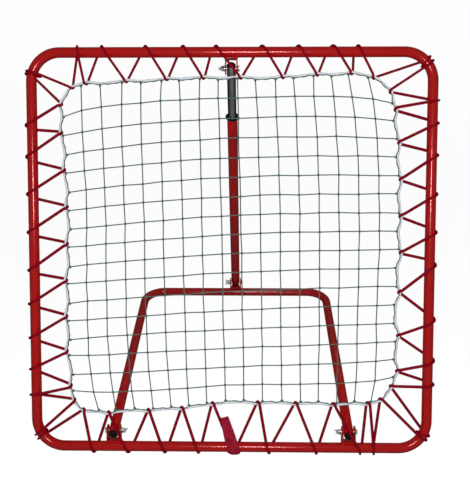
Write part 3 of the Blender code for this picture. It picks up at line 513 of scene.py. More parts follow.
def piece(name, mesh, slot, body, local, nodes=(), sharp=None):
    """Add a finished piece: its mesh goes from local axes to the frame's space."""
    mesh.transform(local)
    if sharp is not None:
        mesh.set_sharp_from_angle(angle=math.radians(sharp))
    mesh.name = name
    made = linked(name, mesh)
    mesh.materials.clear()
    mesh.materials.append(MATERIALS[slot])
    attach(made, body)
    if nodes:
        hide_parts(*nodes)
    return made


def mesh_of(points, faces, uvs=None):
    mesh = bpy.data.meshes.new("mesh")
    mesh.from_pydata(points, [], faces)
    if uvs is not None:
        mesh.uv_layers.new(name="UVMap").data.foreach_set("uv", uvs.ravel())
    mesh.shade_smooth()
    return mesh


def mesh_from(shape):
    mesh = bpy.data.meshes.new("mesh")
    shape.to_mesh(mesh)
    shape.free()
    return mesh


def joined_mesh(parts):
    """Several meshes as one; the parts are used up."""
    shape = bmesh.new()
    for part in parts:
        shape.from_mesh(part)
        bpy.data.meshes.remove(part)
    mesh = mesh_from(shape)
    mesh.shade_smooth()
    return mesh


def modified(mesh, *steps):
    """Run modifiers on a mesh, each a kind with its settings, and return the new mesh."""
    holder = linked(mesh.name, mesh)
    for kind, settings in steps:
        modifier = holder.modifiers.new(kind, kind)
        for key, value in settings.items():
            setattr(modifier, key, value)
    bpy.context.view_layer.update()
    result = bpy.data.meshes.new_from_object(
        holder.evaluated_get(bpy.context.evaluated_depsgraph_get()))
    bpy.data.objects.remove(holder, do_unlink=True)
    return result


def combined(mesh, tool, operation):
    cutter = linked(tool.name, tool)
    result = modified(mesh, ("BOOLEAN", {"operation": operation, "solver": "EXACT", "object": cutter}))
    bpy.data.objects.remove(cutter, do_unlink=True)
    return result


def cut(mesh, *tools):
    for tool in tools:
        mesh = combined(mesh, tool, "DIFFERENCE")
    return mesh


def bevelled(mesh, width, angle):
    settings = {"width": width, "segments": 3, "limit_method": "ANGLE",
                "angle_limit": math.radians(angle)}
    result = modified(mesh, ("BEVEL", settings))
    result.shade_smooth()
    return result


def lengths(path):
    steps = np.linalg.norm(np.diff(path, axis=0), axis=1)
    return np.concatenate([[0.0], np.cumsum(steps)])


def all_round(count):
    """Evenly spaced angles, once round."""
    return np.linspace(0, 2 * math.pi, count, endpoint=False)


def arc(center, radius, start, end, steps):
    angles = [math.radians(start + (end - start) * i / steps) for i in range(steps + 1)]
    return [(center[0] + radius * math.cos(a), center[1] + radius * math.sin(a)) for a in angles]


def grid_mesh(points, closed=False, along=None):
    """Skin over rows of points, each row once round the piece, with caps if it isn't closed.

    UV holds the share round the piece and the metres along it.
    """
    points = np.asarray(points, float)
    rows, columns, _ = points.shape
    r, c = np.meshgrid(np.arange(rows if closed else rows - 1), np.arange(columns), indexing="ij")
    r2, c2 = (r + 1) % rows, (c + 1) % columns
    corners = [r * columns + c, r * columns + c2, r2 * columns + c2, r2 * columns + c]
    faces = np.stack(corners, -1).reshape(-1, 4).tolist()
    if along is None:
        along = lengths(points.mean(1))
    ends = np.append(along, along[-1] + (along[-1] - along[-2]))
    u0, u1 = c / columns, (c + 1) / columns
    v0, v1 = ends[r], ends[r + 1]
    uvs = np.stack([u0, v0, u1, v0, u1, v1, u0, v1], -1).reshape(-1, 2)
    if not closed:
        faces.append(list(range(columns))[::-1])
        faces.append([(rows - 1) * columns + i for i in range(columns)])
        flat = [(0.5, v) for v in (along[0], along[-1]) for _ in range(columns)]
        uvs = np.concatenate([uvs, np.array(flat)])
    return mesh_of(points.reshape(-1, 3), faces, uvs)


def carried_axes(path, closed):
    """Two directions square to the path, carried along it without twisting."""
    ahead = np.roll(path, -1, 0) - np.roll(path, 1, 0)
    if not closed:
        ahead[0] = path[1] - path[0]
        ahead[-1] = path[-1] - path[-2]
    tangent = ahead / np.linalg.norm(ahead, axis=1)[:, None]
    first = np.zeros_like(path)
    normal = np.array([0.0, 1.0, 0.0] if abs(tangent[0][1]) < 0.9 else [1.0, 0.0, 0.0])
    for index, here in enumerate(tangent):
        normal = normal - here * normal.dot(here)
        normal = normal / math.sqrt(normal.dot(normal))
        first[index] = normal
    second = np.cross(tangent, first)
    if closed:
        last = first[-1] - tangent[0] * first[-1].dot(tangent[0])
        slip = math.atan2(last.dot(second[0]), last.dot(first[0]))
        share = -slip * np.arange(len(path)) / len(path)
        first = first * np.cos(share)[:, None] + second * np.sin(share)[:, None]
        second = np.cross(tangent, first)
    return first, second


def tube_grid(path, radius, sides, closed=False, shape=None):
    """Rows of points round a path. shape(angle, length) scales the radius."""
    first, second = carried_axes(path, closed)
    angle = all_round(sides)
    reach = np.broadcast_to(radius, (len(path),))[:, None] * np.ones(sides)
    if shape is not None:
        reach = reach * shape(angle[None, :], lengths(path)[:, None])
    return (path[:, None, :] + first[:, None, :] * (reach * np.cos(angle))[:, :, None]
            + second[:, None, :] * (reach * np.sin(angle))[:, :, None])


def resampled(path, step, closed=False):
    """Points at even spacing along a polyline."""
    path = np.asarray(path, float)
    if closed:
        path = np.vstack([path, path[:1]])
    at = lengths(path)
    want = np.linspace(0, at[-1], max(2, int(round(at[-1] / step)) + 1))
    even = np.stack([np.interp(want, at, path[:, k]) for k in range(3)], -1)
    return even[:-1] if closed else even


def relaxed_path(path, rounds, closed=False):
    for _ in range(rounds):
        middle = (np.roll(path, 1, 0) + np.roll(path, -1, 0)) / 2
        eased = path + (middle - path) * 0.5
        if not closed:
            eased[0], eased[-1] = path[0], path[-1]
        path = eased
    return path


def pipe_mesh(path, outer, wall, sides):
    """A pipe with a real wall: out along the outside and back through the bore."""
    out, bore = [tube_grid(path, radius, sides) for radius in (outer, outer - wall)]
    tips = [path[k] + (out[k] - path[k]) * (1 - PIPE_EDGE / outer) for k in (0, -1)]
    for k, inward in ((0, path[1] - path[0]), (-1, path[-2] - path[-1])):
        out[k] += inward / np.linalg.norm(inward) * PIPE_EDGE
    at = lengths(path)
    return grid_mesh(np.concatenate([tips[:1], out, tips[1:], bore[::-1]]), True,
                     np.concatenate([at[:1], at, at[-1:], at[::-1]]))


def turned_mesh(profile, sides=48, axis="Z", ring=False):
    """A turned shape. Its profile is (radius, height) from end to end, or a ring's closed loop."""
    angle = all_round(sides)
    rows = [[(r * math.cos(a), r * math.sin(a), z) for a in angle] for r, z in profile]
    mesh = grid_mesh(rows, ring)
    if axis == "X":
        mesh.transform(turned(90, "Y"))
    return mesh


def bar_mesh(radius, low, high, axis, sides=32, at=(0, 0, 0)):
    """A plain round cutter along one local axis."""
    shape = bmesh.new()
    bmesh.ops.create_cone(shape, cap_ends=True, segments=sides, radius1=radius, radius2=radius,
                          depth=high - low)
    mesh = mesh_from(shape)
    mesh.transform(moved(z=(high + low) / 2))
    if axis != "Z":
        mesh.transform(turned(90, "Y") if axis == "X" else turned(-90, "X"))
    mesh.transform(moved(*at))
    return mesh


def block_mesh(low, high):
    """A square cutter between two corners."""
    shape = bmesh.new()
    bmesh.ops.create_cube(shape, size=1.0)
    bmesh.ops.scale(shape, verts=shape.verts, vec=[h - l for l, h in zip(low, high)])
    bmesh.ops.translate(shape, verts=shape.verts, vec=[(h + l) / 2 for l, h in zip(low, high)])
    return mesh_from(shape)


def plate_mesh(outline, thickness):
    """A flat outline in local YZ, as thick as given along X."""
    shape = bmesh.new()
    lower, upper = [[shape.verts.new((x, y, z)) for y, z in outline]
                    for x in (-thickness / 2, thickness / 2)]
    shape.faces.new(lower[::-1])
    shape.faces.new(upper)
    for i in range(len(outline)):
        j = (i + 1) % len(outline)
        shape.faces.new((lower[i], lower[j], upper[j], upper[i]))
    bmesh.ops.recalc_face_normals(shape, faces=shape.faces)
    return mesh_from(shape)


# Tubes

def make_frame_tube():
    top = TOP_S - CORNER_RADIUS
    centers = [(INNER_HALF, top), (-INNER_HALF, top), (-INNER_HALF, CORNER_RADIUS),
               (INNER_HALF, CORNER_RADIUS)]
    points = []
    for quarter, center in enumerate(centers):
        points += arc(center, CORNER_RADIUS, 90 * quarter, 90 * quarter + 90, 20)
    path = np.array([(x, 0.0, s) for x, s in points])
    mesh = grid_mesh(tube_grid(path, TUBE_R, 48, True), True, lengths(path))
    drain = bar_mesh(DRAIN_HOLE / 2, -TUBE_OD, -TUBE_R / 2, "Z", 24, (DRAIN_X, 0, 0))
    piece("frame_tube", cut(mesh, drain), "red_paint", "frame", FRAME_SPACE, ["frame_ring"], 50)


def make_leg_tube():
    half = LEG_SPACING / 2
    bend = LEG_BEND_RADIUS
    points = [(-half, -LEG_END), (-half, LEG_LENGTH / 2)]
    points += arc((-half + bend, LEG_LENGTH - bend), bend, 180, 90, 20)
    points += arc((half - bend, LEG_LENGTH - bend), bend, 90, 0, 20)
    points += [(half, LEG_LENGTH / 2), (half, -LEG_END)]
    path = np.array([(x, y, 0.0) for x, y in points])
    holes = [bar_mesh(BOLT_HOLE_R, -TUBE_OD, TUBE_OD, "X", at=(x, 0, 0)) for x in (-half, half)]
    mesh = cut(pipe_mesh(path, TUBE_R, TUBE_WALL, 48), *holes)
    piece("leg_tube", mesh, "red_paint", "stand", STAND_SPACE, ["leg_frame"], 50)


def make_strut_tube(name, slot, low, high, od, wall, holes):
    stations = np.linspace(low, high, int(math.ceil((high - low) / STRUT_STEP)) + 1)
    path = np.array([(0.0, 0.0, z) for z in stations])
    mesh = cut(pipe_mesh(path, od / 2, wall, 64), *holes)
    piece(name, mesh, slot, name, STRUT_SPACE, [name + "_tube"], 50)


def make_strut():
    """The inner tube, and the outer one with play at its foot and a hole for the lock."""
    bolt_hole = bar_mesh(BOLT_HOLE_R, -INNER_OD, INNER_OD, "X")
    make_strut_tube("strut_inner", "black_tube", -(MOUTH_FROM_PIVOT + INNER_OVERLAP), INNER_END,
                    INNER_OD, INNER_WALL, [bolt_hole])
    foot_hole = bar_mesh(BOLT_HOLE_R + FOOT_PLAY, -OUTER_OD, OUTER_OD, "X",
                         at=(0, FOOT_PLAY_BACK, FOOT_PLAY_UP - STRUT_LENGTH))
    lock_hole = bar_mesh(LOCK_D / 2 + GAP, 0, OUTER_OD, "Y", at=(0, 0, LOCK_HEIGHT))
    make_strut_tube("strut_outer", "red_paint", -(STRUT_LENGTH + OUTER_END), -MOUTH_FROM_PIVOT,
                    OUTER_OD, OUTER_WALL, [foot_hole, lock_hole])


def plug_mesh(tube_od, wall, tube_end, dome=0.0):
    """An end plug: flange outside, flat or domed, and a ribbed spigot that stops above the bolt."""
    flange = tube_od / 2 - PLUG_RIM_IN
    spigot = tube_od / 2 - wall - PLUG_PLAY
    depth = tube_end - BOLT_D / 2 - PLUG_OFF_BOLT
    profile = [(ON_AXIS, CAP_FLANGE), (flange * 0.55, CAP_FLANGE), (flange * 0.82, CAP_FLANGE * 0.92)]
    if dome:
        profile = [(ON_AXIS + flange * 0.80 * math.sin(a), CAP_FLANGE * 0.95 + dome * math.cos(a))
                   for a in np.linspace(0, math.pi / 2, 8)]
    profile += arc((flange - PLUG_EDGE, CAP_FLANGE * 0.55), PLUG_EDGE, 60, 0, 2)
    profile += [(flange, GAP), (spigot, GAP), (spigot, -depth * 0.3),
                (spigot - RIB_GROOVE, -depth * 0.4), (spigot, -depth * 0.5),
                (spigot - SPIGOT_TAPER, -depth), (ON_AXIS, -depth)]
    return turned_mesh(profile[::-1])


def make_plugs():
    for side, x in (("left", -LEG_SPACING / 2), ("right", LEG_SPACING / 2)):
        mesh = plug_mesh(TUBE_OD, TUBE_WALL, LEG_END)
        piece("leg_plug_" + side, mesh, "black_plastic", "stand",
              STAND_SPACE @ moved(x, -LEG_END) @ turned(90, "X"), ["leg_cap_" + side], 40)
    mesh = plug_mesh(INNER_OD, INNER_WALL, INNER_END, STRUT_PLUG_DOME)
    piece("strut_plug", mesh, "black_plastic", "strut_inner", STRUT_SPACE @ moved(z=INNER_END),
          ["strut_top_plug"], 40)


def make_collar():
    """The bush in the strut's mouth: rounded flange, sleeve below."""
    bore = INNER_OD / 2 + GAP
    sleeve = OUTER_OD / 2 - OUTER_WALL - GAP
    edge = COLLAR_FLANGE * 0.40
    rim = COLLAR_OD / 2 - edge
    profile = [(sleeve, -COLLAR_DEPTH), (sleeve, GAP)]
    profile += arc((rim, GAP + edge), edge, -90, 0, 3)
    profile += arc((rim, COLLAR_FLANGE - edge), edge, 0, 90, 3)
    profile += [(bore + MOUTH_EASE, COLLAR_FLANGE),
                (bore + MOUTH_EASE / 3, COLLAR_FLANGE - MOUTH_EASE / 3),
                (bore, COLLAR_FLANGE - MOUTH_EASE), (bore, -COLLAR_DEPTH)]
    piece("collar", turned_mesh(profile, 72, ring=True), "black_plastic", "strut_outer",
          STRUT_SPACE @ moved(z=-MOUTH_FROM_PIVOT), ["strut_collar"], 40)


# Brackets and welds

def bead_mesh(path, radius, closed, seed):
    """A weld bead: ripples along it, thin at its ends."""
    path = resampled(path, BEAD_STEP, closed)
    at = lengths(path)
    wander = np.random.RandomState(seed).uniform(-0.10, 0.10, 9)
    ripple = (1 + 0.13 * np.abs(np.sin(math.pi * at / BEAD_RIPPLE))
              + np.interp(at, np.linspace(0, at[-1], 9), wander))
    taper = 1 if closed else np.clip(np.minimum(at, at[-1] - at) / BEAD_END, 0.25, 1)
    return grid_mesh(tube_grid(path, radius * ripple * taper, 12, closed), closed)


def make_bracket(label, node, inside, body, local, tube_offset):
    """A folded plate channel with its saddle on the tube, and a weld along each side."""
    foot = -(PIVOT_RISE - TUBE_R + EAR_DROP)
    outline = arc((0, 0), EAR_RADIUS, 0, 180, 32)
    outline += [(min(-EAR_RADIUS, tube_offset - EAR_PAST_TUBE), foot), (EAR_RADIUS, foot)]
    reach = 2 * EAR_RADIUS
    web_low = -(PIVOT_RISE - TUBE_R) - WEB_SEAT
    half = inside / 2
    mesh = cut(plate_mesh(outline, inside + 2 * PLATE),
               block_mesh((-half, -reach, web_low + PLATE), (half, reach, reach)),
               block_mesh((-half, -reach, -2 * reach), (half, reach, web_low)),
               bar_mesh(TUBE_R + HAIR, -inside, inside, "X", 64, (0, tube_offset, -PIVOT_RISE)),
               bar_mesh(BOLT_HOLE_R, -inside, inside, "X"))
    piece(label + "_bracket_plate", bevelled(mesh, BRACKET_EDGE, 35), "red_paint", body, local, [node], 60)

    back = math.acos((TUBE_R - EAR_DROP) / TUBE_R)
    front = min(back, math.asin(EAR_PAST_TUBE / TUBE_R)) if tube_offset else back
    angles = np.linspace(BEAD_KEPT_SHORT - front, back - BEAD_KEPT_SHORT, 24)
    on_tube = TUBE_R + WEB_SEAT
    beads = []
    for side in (-1, 1):
        path = [(side * (half + PLATE + GAP), tube_offset + on_tube * math.sin(a),
                 -PIVOT_RISE + on_tube * math.cos(a)) for a in angles]
        beads.append(bead_mesh(path, BRACKET_BEAD_R, False, 3 + side))
    piece(label + "_welds", joined_mesh(beads), "red_paint", body, local)


def pivots():
    """Each pivot: label, bracket's node, inner width, body, bracket's and bolt's axes, tube offset."""
    half = LEG_SPACING / 2
    flip = turned(180, "Z")
    left, right = [FRAME_SPACE @ moved(x, PIVOT_BACK, PIVOT_RISE) for x in (-half, half)]
    high = FRAME_SPACE @ moved(0, PIVOT_BACK, TOP_S - PIVOT_RISE)
    foot = STAND_SPACE @ moved(0, LEG_LENGTH, PIVOT_RISE)
    return [("hinge_left", "hinge_bracket_left", LEG_INSIDE, "frame", left, left, -PIVOT_BACK),
            ("hinge_right", "hinge_bracket_right", LEG_INSIDE, "frame", right, right @ flip, -PIVOT_BACK),
            ("top", "top_bracket", TOP_INSIDE, "frame", high @ turned(180, "Y"), high @ flip, -PIVOT_BACK),
            ("foot", "foot_bracket", FOOT_INSIDE, "stand", foot, foot @ flip, 0.0)]


# Fasteners, each along local X with the wing nut on the +X side

def rows_along_x(angle, sections):
    """Rows of points round local X. A section has its place and its radius at each angle."""
    return [np.stack([x + 0 * angle, r * np.cos(angle), r * np.sin(angle)], -1) for x, r in sections]


def hexagon_mesh(across_flats, low, high):
    """A hexagon prism along X with its outer end, at low, chamfered."""
    angle = all_round(48)
    edge = across_flats / 2 / np.cos((angle + math.pi / 6) % (math.pi / 3) - math.pi / 6)
    face_r = 0.485 * across_flats
    drop = np.maximum(0, edge - face_r) * math.tan(math.radians(32))
    sections = [(low, 0.96 * face_r), (low + 0.00012, face_r), (low + 0.00015 + drop, edge),
                (high - HAIR, edge), (high, 0.99 * edge)]
    return grid_mesh(rows_along_x(angle, sections))


def screw_mesh(diameter, pitch, low, thread_from, high):
    """A round shank along X whose end carries a real screw thread."""
    turns = np.arange(32) / 32
    sections = [(low, diameter / 2), (thread_from, diameter / 2)]
    for x in np.arange(thread_from + pitch / 8, high, pitch / 8):
        phase = ((x - thread_from) / pitch - turns) % 1.0
        groove = 0.6 * pitch * (1 - np.abs(2 * phase - 1))
        end = max(0.0, x - (high - pitch)) * 0.7
        sections.append((x, diameter / 2 - np.maximum(groove, end)))
    return grid_mesh(rows_along_x(2 * math.pi * turns, sections))


def bolt_mesh(inside):
    grip = inside / 2 + PLATE + GAP
    nut_at = grip + WASHER_THICKNESS + GAP
    far = nut_at + HUB_HEIGHT + BOLT_PROUD
    head = hexagon_mesh(HEAD_ACROSS_FLATS, -grip - HEAD_HEIGHT, -grip)
    shank = screw_mesh(BOLT_D - HAIR, BOLT_PITCH, -grip - HEAD_OVERLAP,
                       nut_at - THREAD_BEFORE_NUT, far)
    return joined_mesh([head, shank])


def washer_mesh():
    edge = GAP
    inner, outer = BOLT_HOLE_R + edge, WASHER_OD / 2 - edge
    high = WASHER_THICKNESS - edge
    profile = []
    for center, start in (((outer, edge), -90), ((outer, high), 0), ((inner, high), 90),
                          ((inner, edge), 180)):
        profile += arc(center, edge, start, start + 90, 3)
    return turned_mesh(profile, 48, "X", True)


def wing_outline(span, root):
    """One smooth outline of both wings about the hub, across and up from the hub's foot."""
    half = [(0.30 * root, 0.02), (0.62 * root, 0.10), (0.36 * span, 0.20), (0.44 * span, 0.42),
            (0.485 * span, 0.62), (0.50 * span, 0.78), (0.485 * span, 0.92), (0.44 * span, 0.99),
            (0.395 * span, 0.985), (0.345 * span, 0.90), (0.30 * span, 0.70), (0.52 * root, 0.52)]
    half = [(across, up * WING_HEIGHT) for across, up in half]
    return half + [(-across, up) for across, up in reversed(half)]


def winged_mesh(base_d, top_d, span, bore_d=None):
    """A cast hub with two wings, blended where they meet; it stands on local X = 0."""
    base, top = base_d / 2, top_d / 2
    hub = turned_mesh([(ON_AXIS, 0), (base - HUB_EDGE, 0), (base, HUB_EDGE),
                       (base * 0.99, HUB_EDGE * 2.4), (top, HUB_HEIGHT - HUB_EDGE),
                       (top - HUB_EDGE, HUB_HEIGHT), (ON_AXIS, HUB_HEIGHT)], 48, "X")
    wings = plate_mesh(wing_outline(span, base_d), WING_THICKNESS)
    wings.transform(Matrix(((0, 0, 1, 0), (0, 1, 0, 0), (-1, 0, 0, 0), (0, 0, 0, 1))))
    both = combined(hub, bevelled(wings, WING_THICKNESS * 0.32, 50), "UNION")
    cast = modified(both, ("REMESH", {"mode": "VOXEL", "voxel_size": CAST_GRAIN}),
                    ("SMOOTH", {"factor": 0.5, "iterations": 7}))
    cast = cut(cast, block_mesh((-0.01, -span, -span), (HAIR / 2, span, span)))
    if bore_d:
        cast = cut(cast, bar_mesh(bore_d / 2, -WING_HEIGHT, 2 * WING_HEIGHT, "X"))
    cast.shade_smooth()
    return cast


def make_pivot_fittings():
    nut = winged_mesh(HUB_BASE_D, HUB_TOP_D, WING_SPAN, BOLT_D + GAP)
    for label, node, inside, body, local, bolt_at, tube_offset in pivots():
        make_bracket(label, node, inside, body, local, tube_offset)
        bolt, washer = label + "_hex_bolt", label + "_flat_washer"
        base = inside / 2 + PLATE + GAP
        piece(bolt, bolt_mesh(inside), "zinc", body, bolt_at, [label + "_bolt"], 35)
        piece(washer, washer_mesh(), "zinc", body, bolt_at @ moved(base), [label + "_washer"], 60)
        piece(label + "_winged_nut", nut.copy(), "zinc", label + "_nut",
              bolt_at @ moved(base + WASHER_THICKNESS + GAP), [label + "_wing_nut"], 60)


def make_lock():
    """The nut welded behind the strut's mouth and its wing screw."""
    face = OUTER_OD / 2
    at = STRUT_SPACE @ moved(z=LOCK_HEIGHT) @ turned(90, "Z")
    nut = hexagon_mesh(LOCK_NUT_FLATS, 0, LOCK_NUT_HEIGHT + NUT_BURIED)
    nut.transform(moved(face + LOCK_NUT_HEIGHT) @ turned(180, "Z"))
    nut = cut(nut, bar_mesh(face + HAIR, -LOCK_NUT_FLATS, LOCK_NUT_FLATS, "Z", 64),
              bar_mesh(LOCK_D / 2 + GAP / 2, 0, 2 * OUTER_OD, "X"))
    piece("weld_nut", nut, "red_paint", "strut_outer", at, ["lock_nut"], 35)
    ring = LOCK_NUT_FLATS / 2 / math.cos(math.pi / 6) * 0.97
    path = [(math.sqrt((face + NUT_BEAD_OUT) ** 2 - (ring * math.cos(a)) ** 2), ring * math.cos(a),
             ring * math.sin(a)) for a in all_round(48)]
    piece("weld_nut_bead", bead_mesh(path, NUT_BEAD_R, True, 8), "red_paint", "strut_outer", at)

    hub_at = face + LOCK_NUT_HEIGHT + LOCK_STEM
    head = winged_mesh(HUB_TOP_D, LOCK_HUB_TOP_D, LOCK_WING_SPAN)
    head.transform(turned(90, "X"))
    stem = screw_mesh(LOCK_D - HAIR, LOCK_PITCH, 0.0, 0.0002, hub_at - INNER_OD / 2 - GAP)
    stem.transform(turned(180, "Z") @ moved(-STEM_BURIED))
    piece("wing_screw", joined_mesh([head, stem]), "zinc", "lock", at @ moved(hub_at),
          ["lock_screw"], 60)


# Net

def along_outline(points, target, axis):
    """Point on a polyline where one coordinate passes the target value."""
    for start, end in zip(points, points[1:]):
        a, b = start[axis], end[axis]
        if min(a, b) <= target <= max(a, b) and a != b:
            share = (target - a) / (b - a)
            return tuple(p + (q - p) * share for p, q in zip(start, end))


def border_ring():
    """The rope's points in order: net corners, string ends and cord apexes."""
    ring = []
    for side, (apexes, strings) in enumerate(zip(APEXES, STRINGS)):
        axis = side % 2
        outline = [NET_CORNERS[side], *apexes, NET_CORNERS[(side + 1) % 4]]
        entries = [("apex", apex) for apex in apexes]
        entries += [("string", along_outline(outline, value, axis)) for value in strings]
        entries.sort(key=lambda entry: entry[1][axis], reverse=side in (1, 2))
        ring += [("corner", NET_CORNERS[side]), *entries]
    return ring


def relaxed_net():
    """Where the rope and the strings settle between the fixed apexes, as taut cords do."""
    ring = border_ring()
    last = NET_LAST
    border = [(c, 0) for c in range(last)] + [(last, r) for r in range(last)]
    border += [(c, last) for c in range(last, 0, -1)] + [(0, r) for r in range(last, 0, -1)]
    inside = [(column, row) for row in range(1, last) for column in range(1, last)]
    grid = dict(zip(border, [i for i, (kind, _) in enumerate(ring) if kind != "apex"]))
    grid.update({cell: len(ring) + k for k, cell in enumerate(inside)})
    count = len(ring) + len(inside)

    edges = []
    for index, (_, place) in enumerate(ring):
        other = (index + 1) % len(ring)
        edges.append((index, other, ROPE_TENSION / max(math.dist(place, ring[other][1]), 1.0)))
    pitch = (STRINGS[0][-1] - STRINGS[0][0]) / (len(STRINGS[0]) - 1)
    for row in range(1, last):
        for column in range(last):
            edges.append((grid[(column, row)], grid[(column + 1, row)], STRING_TENSION_ACROSS / pitch))
            edges.append((grid[(row, column)], grid[(row, column + 1)], STRING_TENSION_UP / pitch))
    stiffness = np.zeros((count, count))
    for a, b, pull in edges:
        stiffness[[a, b], [a, b]] += pull
        stiffness[[a, b], [b, a]] -= pull
    fixed = [i for i, (kind, _) in enumerate(ring) if kind == "apex"]
    free = sorted(set(range(count)) - set(fixed))
    places = np.zeros((count, 2))
    places[fixed] = [ring[i][1] for i in fixed]
    pulls = -stiffness[np.ix_(free, fixed)] @ places[fixed]
    places[free] = np.linalg.solve(stiffness[np.ix_(free, free)], pulls)
    places *= MM
    for column, row in inside:
        share = math.sin(math.pi * column / last) * math.sin(math.pi * row / last)
        places[grid[(column, row)], 1] += NET_RISE * share
    return np.insert(places, 1, 0.0, axis=1), [kind for kind, _ in ring], grid


def lobed(pitch, depth):
    """Cross-section of twisted plies, turning once in each pitch."""
    def shape(angle, along):
        phase = PLIES / 2 * (angle - 2 * math.pi * along / pitch)
        return 1 - depth + depth * np.sqrt(np.abs(np.cos(phase)))
    return shape


def knot_path(size, squash):
    """A closed overhand form, for a knot pulled tight."""
    t = all_round(30)
    return np.stack([(np.sin(t) + 2 * np.sin(2 * t)) / 3, -np.sin(3 * t) * squash,
                     (np.cos(t) - 2 * np.cos(2 * t)) / 3], -1) * size


def merged(tubes):
    """Several tube grids, open or closed, as one mesh."""
    return joined_mesh([grid_mesh(grid, closed) for grid, closed in tubes])


def make_border_rope(rope):
    total = lengths(np.vstack([rope, rope[:1]]))[-1]
    shape = lobed(total / round(total / ROPE_PITCH), ROPE_GROOVE)
    mesh = grid_mesh(tube_grid(rope, ROPE_D / 2 * PLIES_SWELL, 18, True, shape), True, lengths(rope))
    piece("rope_lay", mesh, "border_rope", "frame", FRAME_SPACE, ["border_rope"])


def make_net():
    """The rope, the strings with the selvedge that winds round the rope, and the knots."""
    places, kinds, grid = relaxed_net()
    rope = relaxed_path(resampled(places[:len(kinds)], ROPE_STEP, True), 24, True)
    make_border_rope(rope)

    rng = np.random.RandomState(11)
    wander = rng.uniform(-1, 1, (NET_LAST + 1, NET_LAST + 1, 3)) * np.array(NODE_WANDER)
    ahead = np.roll(rope, -1, 0) - np.roll(rope, 1, 0)
    inward = np.stack([ahead[:, 2], 0 * ahead[:, 1], -ahead[:, 0]], -1)
    inward /= np.linalg.norm(inward, axis=1)[:, None]

    def beside_rope(place, reach=SELVEDGE_R):
        near = np.argmin(((rope - place) ** 2).sum(1))
        return rope[near] + inward[near] * reach

    def node_place(column, row):
        place = places[grid[(column, row)]]
        if 0 < column < NET_LAST and 0 < row < NET_LAST:
            return place + wander[column, row]
        return beside_rope(place)

    strings = []
    shape = lobed(TWINE_PITCH, TWINE_GROOVE)
    for number in range(1, NET_LAST):
        for across in (False, True):
            corners = [node_place(k, number) if across else node_place(number, k)
                       for k in range(NET_LAST + 1)]
            path = relaxed_path(resampled(corners, TWINE_STEP), 2)
            strings.append((tube_grid(path, TWINE_R * 1.03, 8, False, shape), False))
    turns = round(len(rope) * ROPE_STEP / SELVEDGE_PITCH)
    swing = SELVEDGE_SWING * np.sin(np.arange(len(rope)) * 2 * math.pi * turns / len(rope))
    toward = inward * np.cos(swing)[:, None]
    toward[:, 1] -= np.sin(swing)
    selvedge = relaxed_path(rope + toward * SELVEDGE_R, 3, True)
    strings.append((tube_grid(selvedge, TWINE_R * 1.03, 8, True, shape), True))
    piece("net_strings", merged(strings), "twine", "frame", FRAME_SPACE, ["net"])

    knots = []
    for column in range(1, NET_LAST):
        for row in range(1, NET_LAST):
            turn = Matrix.Rotation(rng.uniform(0, 2 * math.pi), 3, "Y")
            path = knot_path(MESH_KNOT_SIZE, 0.5) @ np.array(turn) + node_place(column, row)
            knots.append((tube_grid(path, MESH_KNOT_R, 6, True), True))
    for place, kind in zip(places, kinds):
        if kind == "string":
            path = knot_path(EDGE_KNOT_SIZE, 0.7) + beside_rope(place, SELVEDGE_R + MESH_KNOT_R)
            knots.append((tube_grid(path, EDGE_KNOT_R, 6, True), True))
    piece("net_knots", merged(knots), "twine", "frame", FRAME_SPACE)


# Elastic cord

def corner_site(corner):
    """Where the cord wraps a corner: its place, the outward direction, and that it is at a bend."""
    center = np.array([INNER_HALF if corner in (1, 2) else -INNER_HALF,
                       CORNER_RADIUS if corner > 1 else TOP_S - CORNER_RADIUS])
    angle = math.radians(CORNER_WRAP_ANGLES[corner])
    outward = np.array([math.cos(angle), math.sin(angle)])
    return center + outward * CORNER_RADIUS, outward, True


def hook_points(apex, travel):
    """Over the rope from the front, round its inner side and out behind."""
    inward = np.array([travel[1], -travel[0]])
    points = []
    for a in np.radians(np.arange(-90, 91, 15)):
        flat = apex + inward * HOOK_REACH * math.cos(a) + travel * HOOK_SPREAD * math.sin(a)
        points.append((flat[0], HOOK_LIFT * math.sin(a), flat[1]))
    return points


def wrap_points(site, before, after, shift=0.0):
    """Round the tube from behind over its outer edge to the front, tangent at both ends.

    At a bend it follows the bend and makes one turn more, unless it ends in the knot there.
    """
    center, outward, at_bend = site
    travel = np.array([outward[1], -outward[0]])
    limits, slopes = [], []
    for apex in (before, after):
        if apex is None:
            limits.append(NEARLY_ROUND)
            continue
        reach = (center - apex).dot(outward)
        span = math.hypot(reach, HOOK_LIFT)
        limits.append(math.pi - math.atan2(HOOK_LIFT, reach) - math.acos(WRAP_R / span))
        slopes.append(abs((center - apex).dot(travel)) / max(reach, WRAP_R))
    start, end = limits[0], -limits[1]
    slant = TURN_SLANT if at_bend else min(WRAP_SLANT * sum(slopes) / len(slopes), WRAP_SLANT_MOST)
    middle = 0.0
    if at_bend and not shift:
        middle = -math.pi
        end -= 2 * math.pi
    points = []
    for a in np.linspace(start, end, int(abs(start - end) / math.radians(8)) + 2):
        side = shift - slant * (a - middle)
        reach = WRAP_R * math.cos(a)
        flat = center + travel * side + outward * reach
        if at_bend:
            turn = side / CORNER_RADIUS
            heading = outward * math.cos(turn) + travel * math.sin(turn)
            flat = center + (heading - outward) * CORNER_RADIUS + heading * reach
        points.append((flat[0], WRAP_R * math.sin(a), flat[1]))
    return points


